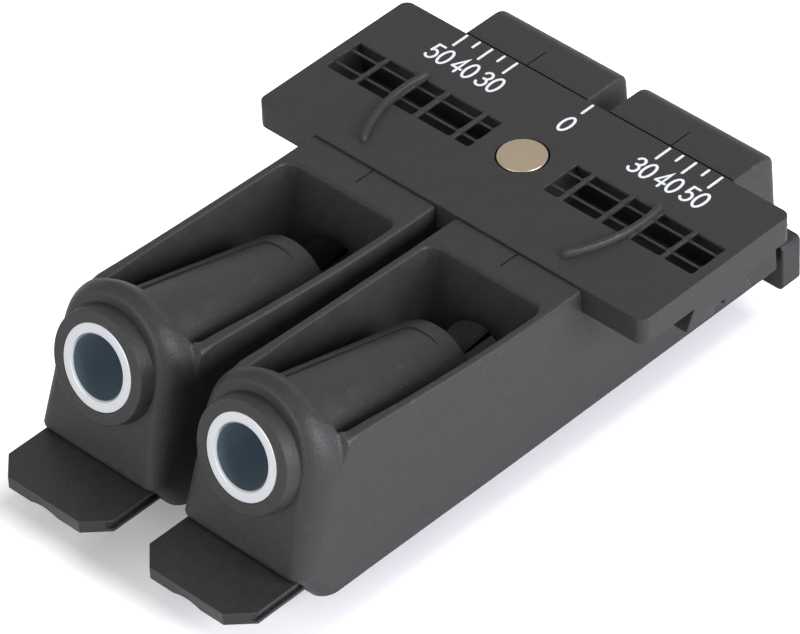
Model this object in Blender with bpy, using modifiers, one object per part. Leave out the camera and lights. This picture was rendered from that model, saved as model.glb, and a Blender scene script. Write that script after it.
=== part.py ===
"""Pocket hole jig: two drill guide bodies on a dovetailed connecting plate, each with a sliding edge stop.

Metres, +Z up, +X across the two guides, +Y from the drill entry to the edge stops.
Each guide is modelled once, in a frame of its own: x is across the guide, y = 0 is the front edge of the
connecting plate and z = 0 is the base that lies on the board. Two empties then place its pieces.
"""
import math

import bmesh
import bpy
from mathutils import Matrix, Vector

# Clearances
RUN_GAP = 0.0003
SEAT_GAP = 0.0002

# Guide body
BODY_WIDTH = 0.0244
BODY_HEIGHT = 0.0224
BODY_EDGE = 0.0007
REAR_LAND = 0.0080
REAR_RAKE = 0.0031
REAR_ROUND = 0.0032
FRONT_LAND = 0.0065
SHOULDER_RISE = 0.0042
SHOULDER_RUN = 0.0150

# Drill line: how far the bush face stands ahead of the plate, and where the drill leaves the base
DRILL_TILT = math.radians(15)
FACE_AHEAD = 0.05545
EXIT_BEHIND = 0.0229
DRILL_BORE_RADIUS = 0.0052

# Guide bush
BUSH_RADIUS = 0.0065
BUSH_BORE_RADIUS = 0.00475
BUSH_LENGTH = 0.0320
BUSH_MOUTH = 0.0006

# Head and guide tube, all round the drill line
BOSS_RADIUS = 0.0088
BOSS_RISE = 0.00245
ARCH_RADIUS = 0.0113
ARCH_LENGTH = 0.0027
ARCH_EDGE = 0.0003
FLARE_WIDTH = 0.0028
FLARE_LENGTH = 0.0045
TUBE_RADIUS = 0.0087
TUBE_LENGTH = 0.0380

# Chip pocket
POCKET_WALL = 0.0013
POCKET_LENGTH = 0.0380
POCKET_FLOOR = 0.0072
POCKET_CORNER = 0.0022

# Connecting plate, its dovetail rail and its windows
SPACING_MAX = 0.0500
BODY_GAP = 0.0039
PLATE_END_MARGIN = 0.0006
PLATE_DEPTH = 0.0317
PLATE_THICKNESS = 0.00455
PLATE_PROUD = 0.00065
PLATE_CORNER = 0.0015
PLATE_EDGE = 0.0005
RAIL_HEIGHT = 0.0033
RAIL_FOOT_WIDTH = 0.0140
RAIL_NECK_WIDTH = 0.0105
RAIL_SHIFT = 0.0003
WINDOW_FIRST = 0.0075
WINDOW_LENGTHS = (0.0023, 0.0060, 0.0035, 0.0051, 0.0049)
WINDOW_BARS = (0.0014, 0.0015, 0.0020, 0.0013)
WINDOW_ROWS = (0.00140, 0.00255, 0.00135)
WINDOW_ROW_BAR = 0.00103
WINDOW_END_WEB = 0.0018

# Ribs that steady a round clamp pad on the magnet
RIB_RADIUS = 0.0233
RIB_WIDTH = 0.0010
RIB_HEIGHT = 0.0009
RIB_START = math.radians(-34)
RIB_END = math.radians(11.6)

# Clamp magnet
MAGNET_RADIUS = 0.0038
MAGNET_THICKNESS = 0.0030
MAGNET_PROUD = 0.0001

# Stop slide
SLIDE_WIDTH = 0.0211
SLIDE_THICKNESS = 0.0021
SLIDE_ABOVE_BASE = 0.0029
SLIDE_TRAVEL = 0.0380
SLIDE_LEDGE = 0.0012
TAB_REACH = 0.01255
TAB_LENGTH = 0.0100
TAB_CHAMFER = 0.0034
NOTCH_WIDTH = 0.0052
NOTCH_DEPTH = 0.0005
NOTCH_LENGTH = 0.0030
SIDE_GROOVE_HEIGHT = 0.0006
SIDE_GROOVE_DEPTH = 0.0008
SIDE_LIP_HEIGHT = 0.0005
SLIDE_WINDOW_MARGIN = 0.0004
LIP_THICKNESS = 0.0040
LIP_DROP = 0.0052
LIP_EDGE = 0.0009
TRAVEL_PEG_SIZE = 0.0016

# Click stop of the slide: a ball in a track, with a spring above it
BALL_RADIUS = 0.0015
BALL_DIP = 0.0004
TRACK_DEPTH = 0.0008
BALL_TRACK_MARGIN = 0.0020
BALL_SPRING_HEIGHT = 0.0036

# Click stop of the rail: a plunger under the rail, with a spring below it
PLUNGER_RADIUS = 0.0023
PLUNGER_HEIGHT = 0.0030
PLUNGER_NOSE = 0.0006
PLUNGER_FLOOR_WALL = 0.0010
RACK_GROOVE_DEPTH = 0.0011
RACK_GROOVE_WIDTH = 0.0024

# Springs
WIRE_RADIUS = 0.00018
SPRING_TURNS = 4
SPRING_STEPS = 10

# Facets of the round pieces
ROUND_SIDES = 48
SMALL_SIDES = 24
ARC_STEPS = 6
SHARP_ANGLE = math.radians(35)
MERGE_DISTANCE = 0.000002

# Sizes that follow from the ones above
PLATE_TOP = BODY_HEIGHT + PLATE_PROUD
PLATE_BOTTOM = PLATE_TOP - PLATE_THICKNESS
PLATE_LENGTH = SPACING_MAX + BODY_WIDTH + 2 * PLATE_END_MARGIN
RAIL_BOTTOM = PLATE_BOTTOM - RAIL_HEIGHT
RAIL_Y = PLATE_DEPTH / 2 + RAIL_SHIFT
BODY_REAR_TOP = PLATE_DEPTH + REAR_LAND
BODY_REAR = BODY_REAR_TOP + REAR_RAKE
BODY_HALF = BODY_WIDTH / 2
FACE_Y = -FACE_AHEAD
FACE_Z = (EXIT_BEHIND + FACE_AHEAD) * math.tan(DRILL_TILT)
SHOULDER_TOP = FACE_Z + SHOULDER_RISE
POCKET_REAR = -FRONT_LAND
POCKET_FRONT = POCKET_REAR - POCKET_LENGTH
SLIDE_HALF = SLIDE_WIDTH / 2
SLIDE_TOP = SLIDE_ABOVE_BASE + SLIDE_THICKNESS
SLIDE_TIP = FACE_Y - TAB_REACH
SLIDE_WINDOW_HALF = DRILL_BORE_RADIUS + SLIDE_WINDOW_MARGIN
WINDOW_FRONT = SLIDE_TIP + TAB_LENGTH
WINDOW_REAR = EXIT_BEHIND - SLIDE_ABOVE_BASE / math.tan(DRILL_TILT) + \
    DRILL_BORE_RADIUS / math.sin(DRILL_TILT) + SLIDE_WINDOW_MARGIN
CHANNEL_CEILING = SLIDE_TOP + RUN_GAP
LIP_FRONT = BODY_REAR + RUN_GAP
LIP_REAR = LIP_FRONT + LIP_THICKNESS
BALL_X = (SLIDE_WINDOW_HALF + SLIDE_HALF) / 2
BALL_Y = -FRONT_LAND / 2
BALL_Z = SLIDE_TOP - BALL_DIP + BALL_RADIUS
PEG_HALF = TRAVEL_PEG_SIZE / 2
BALL_BORE_TOP = BALL_Z + BALL_RADIUS + BALL_SPRING_HEIGHT + 2 * RUN_GAP
PLUNGER_TOP = RAIL_BOTTOM - RUN_GAP
PLUNGER_BORE_FLOOR = (EXIT_BEHIND - RAIL_Y + PLUNGER_RADIUS) * math.tan(DRILL_TILT) + \
    DRILL_BORE_RADIUS / math.cos(DRILL_TILT) + PLUNGER_FLOOR_WALL
PLUNGER_SPRING_HEIGHT = PLUNGER_TOP - PLUNGER_HEIGHT - PLUNGER_BORE_FLOOR - 2 * RUN_GAP
SPACING = BODY_WIDTH + BODY_GAP
FRAME_Y = -(SLIDE_TIP + LIP_REAR) / 2
FRAME_Z = LIP_DROP

# Drill line frame: origin in the middle of the bush face, z out of the bush, y up the face
BUSH_TILT = math.pi / 2 - DRILL_TILT
DRILL_FRAME = Matrix.Translation((0, FACE_Y, FACE_Z)) @ Matrix.Rotation(BUSH_TILT, 4, "X")

# Frames for prisms: outline in (y, z) drawn out along x, in (x, z) along y, and in (x, y) along z
SIDE_FRAME = Matrix(((0, 0, 1, 0), (1, 0, 0, 0), (0, 1, 0, 0), (0, 0, 0, 1)))
FRONT_FRAME = Matrix(((1, 0, 0, 0), (0, 0, 1, 0), (0, 1, 0, 0), (0, 0, 0, 1)))
PLAN_FRAME = Matrix()

COLOURS = {
    "charcoal_plastic": ((0.050, 0.049, 0.047, 1), 0.48, 0.0),
    "hardened_steel": ((0.72, 0.75, 0.78, 1), 0.25, 1.0),
    "nickel": ((0.58, 0.52, 0.44, 1), 0.28, 1.0),
    "spring_steel": ((0.45, 0.46, 0.48, 1), 0.30, 1.0),
}


def clear_scene():
    for thing in list(bpy.data.objects):
        bpy.data.objects.remove(thing, do_unlink=True)


def make_collection(name):
    collection = bpy.data.collections.new(name)
    bpy.context.scene.collection.children.link(collection)
    return collection


def make_material(name):
    colour, roughness, metallic = COLOURS[name]
    material = bpy.data.materials.new(name)
    material.use_nodes = True
    shader = material.node_tree.nodes["Principled BSDF"]
    shader.inputs["Base Color"].default_value = colour
    shader.inputs["Roughness"].default_value = roughness
    shader.inputs["Metallic"].default_value = metallic
    material.diffuse_color = colour
    return material


def evaluated(thing):
    """Bmesh of an object as its modifiers leave it; the object itself is removed."""
    bpy.context.view_layer.update()
    seen = thing.evaluated_get(bpy.context.evaluated_depsgraph_get())
    bm = bmesh.new()
    bm.from_mesh(seen.to_mesh())
    bpy.data.objects.remove(thing, do_unlink=True)
    return bm


def finished(bm, name):
    """Mesh of a piece, smooth where it is round and sharp at its corners."""
    bmesh.ops.recalc_face_normals(bm, faces=bm.faces)
    mesh = bpy.data.meshes.new(name)
    bm.to_mesh(mesh)
    bm.free()
    mesh.shade_smooth()
    mesh.set_sharp_from_angle(angle=SHARP_ANGLE)
    return mesh


def new_object(name, bm, collection):
    """Puts a bmesh into a new object, with its faces pointing out."""
    thing = bpy.data.objects.new(name, finished(bm, name))
    collection.objects.link(thing)
    return thing


def box(low, high):
    """Closed box between two corners."""
    low, high = Vector(low), Vector(high)
    bm = bmesh.new()
    size = Matrix.Diagonal((*(high - low), 1))
    bmesh.ops.create_cube(bm, size=1, matrix=Matrix.Translation((low + high) / 2) @ size)
    return bm


def cylinder(radius, low, high, sides, frame=PLAN_FRAME):
    """Closed cylinder along z from low to high, moved by a frame."""
    bm = bmesh.new()
    middle = Matrix.Translation((0, 0, (low + high) / 2))
    bmesh.ops.create_cone(bm, cap_ends=True, segments=sides, radius1=radius, radius2=radius,
                          depth=high - low, matrix=frame @ middle)
    return bm


def turned(profile, sides, frame=PLAN_FRAME):
    """Closed shape turned about z; its (radius, z) points run down its outer side, top to bottom."""
    ring = list(zip(profile, profile[1:] + profile[:1]))
    edges = [(i, (i + 1) % len(profile)) for i, pair in enumerate(ring) if pair[0][0] + pair[1][0] > 0]
    mesh = bpy.data.meshes.new("profile")
    mesh.from_pydata([(radius, 0, z) for radius, z in profile], edges, [])
    thing = bpy.data.objects.new("profile", mesh)
    bpy.context.scene.collection.objects.link(thing)
    screw = thing.modifiers.new("turn", "SCREW")
    screw.steps = sides
    screw.render_steps = sides
    screw.use_merge_vertices = True
    screw.merge_threshold = MERGE_DISTANCE
    bm = evaluated(thing)
    bm.transform(frame)
    return bm


def prism(outline, low, high, frame):
    """Closed prism: an outline in the frame's x and y, drawn out along its z from low to high."""
    bm = bmesh.new()
    face = bm.faces.new([bm.verts.new((x, y, low)) for x, y in outline])
    made = bmesh.ops.extrude_face_region(bm, geom=[face])["geom"]
    moved = [item for item in made if isinstance(item, bmesh.types.BMVert)]
    bmesh.ops.translate(bm, verts=moved, vec=(0, 0, high - low))
    bm.transform(frame)
    return bm


def arc(centre, radius, start, end, steps):
    """Points of an arc round a centre, both ends included."""
    turns = [start + (end - start) * i / steps for i in range(steps + 1)]
    return [(centre[0] + radius * math.cos(a), centre[1] + radius * math.sin(a)) for a in turns]


def rounded_rectangle(low, high, radius, steps=ARC_STEPS):
    """Outline of a rectangle with round corners."""
    centres = ((high[0], high[1]), (low[0], high[1]), (low[0], low[1]), (high[0], low[1]))
    signs = ((-1, -1), (1, -1), (1, 1), (-1, 1))
    points = []
    for corner, ((x, y), (sx, sy)) in enumerate(zip(centres, signs)):
        start = corner * math.pi / 2
        points += arc((x + sx * radius, y + sy * radius), radius, start, start + math.pi / 2, steps)
    return points


class Builder:
    """Joins and cuts shapes into one working object, and hands out its finished mesh."""

    def __init__(self, name, bm, cutters):
        self.cutters = cutters
        self.thing = new_object(name, bm, cutters)

    def bevel(self, width, segments=2):
        modifier = self.thing.modifiers.new("edges", "BEVEL")
        modifier.width = width
        modifier.segments = segments
        modifier.limit_method = "ANGLE"
        modifier.angle_limit = SHARP_ANGLE
        return self

    def combine(self, operation, bm):
        tool = new_object(self.thing.name + "_tool", bm, self.cutters)
        tool.hide_render = True
        tool.display_type = "WIRE"
        modifier = self.thing.modifiers.new(operation.lower(), "BOOLEAN")
        modifier.operation = operation
        modifier.object = tool
        modifier.solver = "EXACT"
        return self

    def add(self, bm):
        return self.combine("UNION", bm)

    def cut(self, bm):
        return self.combine("DIFFERENCE", bm)

    def keep(self, bm):
        return self.combine("INTERSECT", bm)

    def mesh(self, name):
        """Finished mesh, with the working object and its tools removed."""
        tools = [modifier.object for modifier in self.thing.modifiers if modifier.type == "BOOLEAN"]
        bm = evaluated(self.thing)
        for tool in tools:
            bpy.data.objects.remove(tool, do_unlink=True)
        bmesh.ops.remove_doubles(bm, verts=bm.verts, dist=MERGE_DISTANCE)
        bmesh.ops.dissolve_degenerate(bm, edges=bm.edges, dist=MERGE_DISTANCE)
        bmesh.ops.triangulate(bm, faces=[face for face in bm.faces if len(face.verts) > 4])
        return finished(bm, name)


def body_outline():
    """Side view of the guide body: raked rear, flat top, shoulder that climbs to the head."""
    rear = math.atan2(BODY_HEIGHT, -REAR_RAKE)
    setback = REAR_ROUND * math.tan((math.pi - rear) / 2)
    top_centre = (BODY_REAR_TOP - setback, BODY_HEIGHT - REAR_ROUND)
    ramp_foot = POCKET_FRONT + SHOULDER_RUN
    ramp_head = POCKET_FRONT - POCKET_WALL
    points = [(BODY_REAR, 0)]
    points += arc(top_centre, REAR_ROUND, rear - math.pi / 2, math.pi / 2, ARC_STEPS)
    for step in range(ARC_STEPS + 1):
        share = step / ARC_STEPS
        ease = share * share * (3 - 2 * share)
        points.append((ramp_foot + (ramp_head - ramp_foot) * share,
                       BODY_HEIGHT + (SHOULDER_TOP - BODY_HEIGHT) * ease))
    points += [(FACE_Y, SHOULDER_TOP), (FACE_Y - BODY_HEIGHT, SHOULDER_TOP), (FACE_Y - BODY_HEIGHT, 0)]
    return points


def flare_outline():
    """Outline along the bush face, x across and y out of it: two elliptical corners narrow the front."""
    corner = arc((0, 0), 1, 0, math.pi / 2, ARC_STEPS)
    side = [(BODY_HALF - FLARE_WIDTH + FLARE_WIDTH * x, FLARE_LENGTH * y - FLARE_LENGTH - BOSS_RISE)
            for x, y in corner]
    wide = BODY_HALF + RUN_GAP
    rear = -2 * (BODY_REAR - FACE_Y)
    half = [(wide, rear), (wide, side[0][1])] + side
    return half + [(-x, y) for x, y in reversed(half)]


def dovetail_outline(gap):
    """Section of the rail, x along the plate's depth; a gap widens it into the groove that it runs in."""
    foot = RAIL_FOOT_WIDTH / 2 + gap
    neck = RAIL_NECK_WIDTH / 2 + gap
    low, high = RAIL_BOTTOM - gap, PLATE_BOTTOM + RUN_GAP
    half = [(foot, low), (neck, PLATE_BOTTOM), (neck, high)]
    return [(RAIL_Y + y, z) for y, z in half] + [(RAIL_Y - y, z) for y, z in reversed(half)]


def body_mesh(cutters):
    """One guide body in its own frame."""
    beyond = BODY_HEIGHT
    arch_end = -BOSS_RISE - ARCH_LENGTH
    slope = ARCH_RADIUS - ARCH_EDGE
    build = Builder("body_block", prism(body_outline(), -BODY_HALF, BODY_HALF, SIDE_FRAME), cutters)
    build.bevel(BODY_EDGE)
    build.add(cylinder(ARCH_RADIUS, arch_end, beyond, ROUND_SIDES, DRILL_FRAME))
    build.keep(prism(flare_outline(), -2 * BODY_HEIGHT, 2 * BODY_HEIGHT, DRILL_FRAME @ FRONT_FRAME))
    inner = BODY_HALF - POCKET_WALL
    build.cut(prism(rounded_rectangle((-inner, POCKET_FRONT), (inner, POCKET_REAR), POCKET_CORNER),
                    POCKET_FLOOR, SHOULDER_TOP + beyond, PLAN_FRAME))
    build.add(turned([(0, 0), (BOSS_RADIUS, 0), (BOSS_RADIUS, arch_end + ARCH_EDGE),
                      (slope, arch_end + ARCH_EDGE), (slope, arch_end),
                      (TUBE_RADIUS, arch_end + TUBE_RADIUS - slope), (TUBE_RADIUS, -TUBE_LENGTH),
                      (0, -TUBE_LENGTH)], ROUND_SIDES, DRILL_FRAME))
    build.cut(cylinder(BUSH_RADIUS + SEAT_GAP, -BUSH_LENGTH - SEAT_GAP, beyond, ROUND_SIDES, DRILL_FRAME))
    bore_end = -2 * (BODY_REAR - FACE_Y)
    build.cut(cylinder(DRILL_BORE_RADIUS, bore_end, -BUSH_LENGTH + SEAT_GAP, ROUND_SIDES, DRILL_FRAME))
    build.cut(box((-BODY_WIDTH, -RUN_GAP, PLATE_BOTTOM - RUN_GAP),
                  (BODY_WIDTH, PLATE_DEPTH + RUN_GAP, PLATE_TOP + beyond)))
    build.cut(prism(dovetail_outline(RUN_GAP), -BODY_WIDTH, BODY_WIDTH, SIDE_FRAME))
    channel = SLIDE_HALF + RUN_GAP
    mouth = SLIDE_HALF - SLIDE_LEDGE
    ahead, behind = SLIDE_TIP - beyond, BODY_REAR + beyond
    build.cut(box((-channel, ahead, SLIDE_ABOVE_BASE - RUN_GAP), (channel, behind, CHANNEL_CEILING)))
    build.cut(box((-mouth, ahead, -beyond), (mouth, behind, SLIDE_ABOVE_BASE)))
    build.add(box((-BALL_X - PEG_HALF, BALL_Y - PEG_HALF, SLIDE_TOP - TRACK_DEPTH + RUN_GAP),
                  (-BALL_X + PEG_HALF, BALL_Y + PEG_HALF, CHANNEL_CEILING + RUN_GAP)))
    build.cut(cylinder(BALL_RADIUS + SEAT_GAP, SLIDE_TOP, BALL_BORE_TOP, SMALL_SIDES,
                       Matrix.Translation((BALL_X, BALL_Y, 0))))
    build.cut(cylinder(PLUNGER_RADIUS + SEAT_GAP, PLUNGER_BORE_FLOOR, PLATE_BOTTOM, SMALL_SIDES,
                       Matrix.Translation((0, RAIL_Y, 0))))
    return build.mesh("jig_body")


def window_boxes():
    """Cutter for both groups of windows: columns along the plate, rows across the rail."""
    rows_depth = sum(WINDOW_ROWS) + WINDOW_ROW_BAR * (len(WINDOW_ROWS) - 1)
    low, high = RAIL_BOTTOM - RAIL_HEIGHT, PLATE_TOP + RAIL_HEIGHT
    bm = bmesh.new()
    start = WINDOW_FIRST
    for column, length in enumerate(WINDOW_LENGTHS):
        if start + length + WINDOW_END_WEB <= PLATE_LENGTH / 2:
            y = RAIL_Y - rows_depth / 2
            for depth in WINDOW_ROWS:
                for side in (-1, 1):
                    centre = (side * (start + length / 2), y + depth / 2, (low + high) / 2)
                    size = Matrix.Diagonal((length, depth, high - low, 1))
                    bmesh.ops.create_cube(bm, size=1, matrix=Matrix.Translation(centre) @ size)
                y += depth + WINDOW_ROW_BAR
        start += length + (WINDOW_BARS[column] if column < len(WINDOW_BARS) else 0)
    return bm


def rib_prism(side):
    """Arc rib on the plate's top, centred on the magnet."""
    centre = (0, RAIL_Y)
    steps = 2 * ARC_STEPS
    outer = arc(centre, RIB_RADIUS + RIB_WIDTH / 2, RIB_START, RIB_END, steps)
    inner = arc(centre, RIB_RADIUS - RIB_WIDTH / 2, RIB_END, RIB_START, steps)
    outline = [(side * x, y) for x, y in outer + inner]
    return prism(outline, PLATE_TOP - RIB_HEIGHT, PLATE_TOP + RIB_HEIGHT, PLAN_FRAME)


def plate_mesh(cutters):
    """Connecting plate with its rail, windows, pad ribs and magnet seat."""
    half = PLATE_LENGTH / 2
    outline = rounded_rectangle((-half, 0), (half, PLATE_DEPTH), PLATE_CORNER)
    build = Builder("plate_block", prism(outline, PLATE_BOTTOM, PLATE_TOP, PLAN_FRAME), cutters)
    build.bevel(PLATE_EDGE)
    build.add(prism(dovetail_outline(0), -half, half, SIDE_FRAME))
    build.cut(window_boxes())
    groove = RACK_GROOVE_WIDTH / 2
    build.cut(box((-PLATE_LENGTH, RAIL_Y - groove, RAIL_BOTTOM - RAIL_HEIGHT),
                  (PLATE_LENGTH, RAIL_Y + groove, RAIL_BOTTOM + RACK_GROOVE_DEPTH)))
    seat = PLATE_TOP + MAGNET_PROUD - MAGNET_THICKNESS - SEAT_GAP
    build.cut(cylinder(MAGNET_RADIUS + SEAT_GAP, seat, PLATE_TOP + RAIL_HEIGHT, ROUND_SIDES,
                       Matrix.Translation((0, RAIL_Y, 0))))
    build.add(rib_prism(1))
    build.add(rib_prism(-1))
    return build.mesh("connecting_plate")


def slide_mesh(cutters):
    """One stop slide, closed: front tab, two rails, and the lip that meets the board below a chip relief."""
    outline = [(-SLIDE_HALF, LIP_REAR), (-SLIDE_HALF, SLIDE_TIP + TAB_CHAMFER),
               (-SLIDE_HALF + TAB_CHAMFER, SLIDE_TIP), (SLIDE_HALF - TAB_CHAMFER, SLIDE_TIP),
               (SLIDE_HALF, SLIDE_TIP + TAB_CHAMFER), (SLIDE_HALF, LIP_REAR)]
    build = Builder("slide_block", prism(outline, SLIDE_ABOVE_BASE, SLIDE_TOP, PLAN_FRAME), cutters)
    groove_low = SLIDE_ABOVE_BASE + SIDE_LIP_HEIGHT
    for side in (-1, 1):
        inner, outer = side * (SLIDE_HALF - SIDE_GROOVE_DEPTH), side * SLIDE_WIDTH
        build.cut(box((min(inner, outer), SLIDE_TIP + TAB_CHAMFER, groove_low),
                      (max(inner, outer), LIP_REAR + LIP_THICKNESS, groove_low + SIDE_GROOVE_HEIGHT)))
    build.cut(box((-SLIDE_WINDOW_HALF, WINDOW_FRONT, -LIP_DROP), (SLIDE_WINDOW_HALF, WINDOW_REAR, PLATE_TOP)))
    track = math.sqrt(BALL_RADIUS ** 2 - (BALL_RADIUS - BALL_DIP) ** 2) + RUN_GAP
    build.cut(box((BALL_X - track, BALL_Y - SLIDE_TRAVEL - BALL_TRACK_MARGIN, SLIDE_TOP - TRACK_DEPTH),
                  (BALL_X + track, BALL_Y + BALL_TRACK_MARGIN, PLATE_TOP)))
    slot = PEG_HALF + RUN_GAP
    build.cut(box((-BALL_X - slot, BALL_Y - SLIDE_TRAVEL - slot, SLIDE_TOP - TRACK_DEPTH),
                  (-BALL_X + slot, BALL_Y + slot, PLATE_TOP)))
    notch = (NOTCH_WIDTH ** 2 / 4 + NOTCH_DEPTH ** 2) / (2 * NOTCH_DEPTH)
    centre = Matrix.Translation((0, SLIDE_TIP, SLIDE_ABOVE_BASE + NOTCH_DEPTH - notch))
    build.cut(cylinder(notch, -NOTCH_LENGTH, NOTCH_LENGTH, ROUND_SIDES, centre @ FRONT_FRAME))
    top = SLIDE_ABOVE_BASE + SIDE_LIP_HEIGHT / 2
    corner_x, corner_z = BODY_HALF - LIP_EDGE, LIP_EDGE - LIP_DROP
    section = [(BODY_HALF, top), (-BODY_HALF, top)]
    section += arc((-corner_x, corner_z), LIP_EDGE, math.pi, 1.5 * math.pi, ARC_STEPS)
    section += arc((corner_x, corner_z), LIP_EDGE, 1.5 * math.pi, 2 * math.pi, ARC_STEPS)
    build.add(prism(section, LIP_FRONT, LIP_REAR, FRONT_FRAME))
    build.cut(box((-BODY_WIDTH, LIP_FRONT - RUN_GAP, -RUN_GAP),
                  (BODY_WIDTH, LIP_FRONT + RUN_GAP, groove_low)))
    return build.mesh("stop_slide")


def bush_profile():
    mouth = BUSH_BORE_RADIUS + BUSH_MOUTH
    return [(mouth, 0), (BUSH_RADIUS, 0), (BUSH_RADIUS, -BUSH_LENGTH),
            (BUSH_BORE_RADIUS, -BUSH_LENGTH), (BUSH_BORE_RADIUS, -BUSH_MOUTH)]


def magnet_profile():
    edge = MAGNET_PROUD
    return [(0, 0), (MAGNET_RADIUS - edge, 0), (MAGNET_RADIUS, -edge),
            (MAGNET_RADIUS, -MAGNET_THICKNESS), (0, -MAGNET_THICKNESS)]


def plunger_profile():
    """Plunger with a blunt nose that stands up into the rack groove under the rail."""
    nose = RACK_GROOVE_WIDTH / 2 - RUN_GAP
    return [(0, PLUNGER_NOSE + RUN_GAP), (nose / 2, PLUNGER_NOSE + RUN_GAP), (nose, 0),
            (PLUNGER_RADIUS, 0), (PLUNGER_RADIUS, -PLUNGER_HEIGHT), (0, -PLUNGER_HEIGHT)]


def ball_bmesh():
    bm = bmesh.new()
    bmesh.ops.create_uvsphere(bm, u_segments=SMALL_SIDES, v_segments=SMALL_SIDES // 2, radius=BALL_RADIUS)
    return bm


def helix_curve(name, radius, height):
    """Wire of a compression spring that stands on z = 0."""
    curve = bpy.data.curves.new(name, "CURVE")
    curve.dimensions = "3D"
    curve.bevel_depth = WIRE_RADIUS
    curve.bevel_resolution = 1
    curve.use_fill_caps = True
    count = SPRING_TURNS * SPRING_STEPS
    spline = curve.splines.new("POLY")
    spline.points.add(count)
    for i in range(count + 1):
        turn = 2 * math.pi * i / SPRING_STEPS
        z = WIRE_RADIUS + (height - 2 * WIRE_RADIUS) * i / count
        spline.points[i].co = (radius * math.cos(turn), radius * math.sin(turn), z, 1)
    return curve


def place(name, data, collection, parent, material, location=(0, 0, 0), tilt=0):
    """Object of its own for one piece, on its parent empty."""
    thing = bpy.data.objects.new(name, data)
    collection.objects.link(thing)
    thing.parent = parent
    thing.location = location
    thing.rotation_euler = (tilt, 0, 0)
    if not data.materials:
        data.materials.append(material)


def make_frame(name, x, collection):
    frame = bpy.data.objects.new(name, None)
    frame.empty_display_size = BODY_HALF
    frame.location = (x, FRAME_Y, FRAME_Z)
    collection.objects.link(frame)
    return frame


def main():
    clear_scene()
    pieces = make_collection("pocket_hole_jig")
    cutters = make_collection("cutters")
    plastic, steel, nickel, spring = [make_material(name) for name in COLOURS]
    body, slide = body_mesh(cutters), slide_mesh(cutters)
    bush = finished(turned(bush_profile(), ROUND_SIDES), "drill_bush")
    ball = finished(ball_bmesh(), "stop_ball")
    plunger = finished(turned(plunger_profile(), SMALL_SIDES), "rail_plunger")
    magnet = finished(turned(magnet_profile(), ROUND_SIDES), "clamp_magnet")
    ball_spring = helix_curve("stop_spring", BALL_RADIUS - 2 * WIRE_RADIUS, BALL_SPRING_HEIGHT)
    plunger_spring = helix_curve("plunger_spring", PLUNGER_RADIUS - 2 * WIRE_RADIUS, PLUNGER_SPRING_HEIGHT)
    middle = make_frame("plate_frame", 0, pieces)
    place("connecting_plate", plate_mesh(cutters), pieces, middle, plastic)
    place("clamp_magnet", magnet, pieces, middle, nickel, (0, RAIL_Y, PLATE_TOP + MAGNET_PROUD))
    for side, x in (("left_", -SPACING / 2), ("right_", SPACING / 2)):
        frame = make_frame(side + "jig_frame", x, pieces)
        place(side + "jig_body", body, pieces, frame, plastic)
        place(side + "drill_bush", bush, pieces, frame, steel, (0, FACE_Y, FACE_Z), BUSH_TILT)
        place(side + "stop_slide", slide, pieces, frame, plastic)
        place(side + "stop_ball", ball, pieces, frame, spring, (BALL_X, BALL_Y, BALL_Z))
        place(side + "stop_spring", ball_spring, pieces, frame, spring,
              (BALL_X, BALL_Y, BALL_Z + BALL_RADIUS + RUN_GAP))
        place(side + "rail_plunger", plunger, pieces, frame, spring, (0, RAIL_Y, PLUNGER_TOP))
        place(side + "plunger_spring", plunger_spring, pieces, frame, spring,
              (0, RAIL_Y, PLUNGER_BORE_FLOOR + RUN_GAP))
    bpy.data.collections.remove(cutters)


main()
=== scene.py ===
"""Pocket hole jig: its mouldings, steel bushes, clamp magnet and printed scale, in a plain studio."""

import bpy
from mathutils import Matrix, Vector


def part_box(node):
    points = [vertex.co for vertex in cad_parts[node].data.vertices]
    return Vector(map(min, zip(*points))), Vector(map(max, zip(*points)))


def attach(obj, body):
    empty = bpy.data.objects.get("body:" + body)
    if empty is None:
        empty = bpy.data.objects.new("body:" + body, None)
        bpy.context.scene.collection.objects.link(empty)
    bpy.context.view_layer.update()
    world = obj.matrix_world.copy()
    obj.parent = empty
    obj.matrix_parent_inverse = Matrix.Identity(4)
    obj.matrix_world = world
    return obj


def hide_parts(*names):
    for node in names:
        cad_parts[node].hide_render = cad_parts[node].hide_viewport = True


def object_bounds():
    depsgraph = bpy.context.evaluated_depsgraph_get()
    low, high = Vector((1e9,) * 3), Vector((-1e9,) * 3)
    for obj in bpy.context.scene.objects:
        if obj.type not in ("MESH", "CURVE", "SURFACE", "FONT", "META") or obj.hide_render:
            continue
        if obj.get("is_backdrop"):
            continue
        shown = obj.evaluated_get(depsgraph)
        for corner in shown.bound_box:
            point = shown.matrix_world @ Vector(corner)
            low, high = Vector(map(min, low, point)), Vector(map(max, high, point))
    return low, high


bl_info = {
    "name": "Pocket Hole Jig",
    "version": (1, 0, 0),
    "blender": (4, 5, 0),
    "location": "View3D > Sidebar > Jig",
    "description": "Builds the mouldings, bushes, scale and studio of a twin pocket hole jig",
    "category": "Object",
}

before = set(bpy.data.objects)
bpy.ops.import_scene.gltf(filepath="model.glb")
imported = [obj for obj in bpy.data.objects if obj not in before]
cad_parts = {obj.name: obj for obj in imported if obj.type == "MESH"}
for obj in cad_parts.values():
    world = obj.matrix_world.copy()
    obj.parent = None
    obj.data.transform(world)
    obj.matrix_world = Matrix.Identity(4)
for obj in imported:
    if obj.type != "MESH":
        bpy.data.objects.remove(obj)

import math

import bmesh
import bpy
import numpy
from bpy.props import FloatProperty, FloatVectorProperty, PointerProperty
from mathutils import Matrix, Vector

MM = 0.001
SIDES = ("left", "right")

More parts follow.
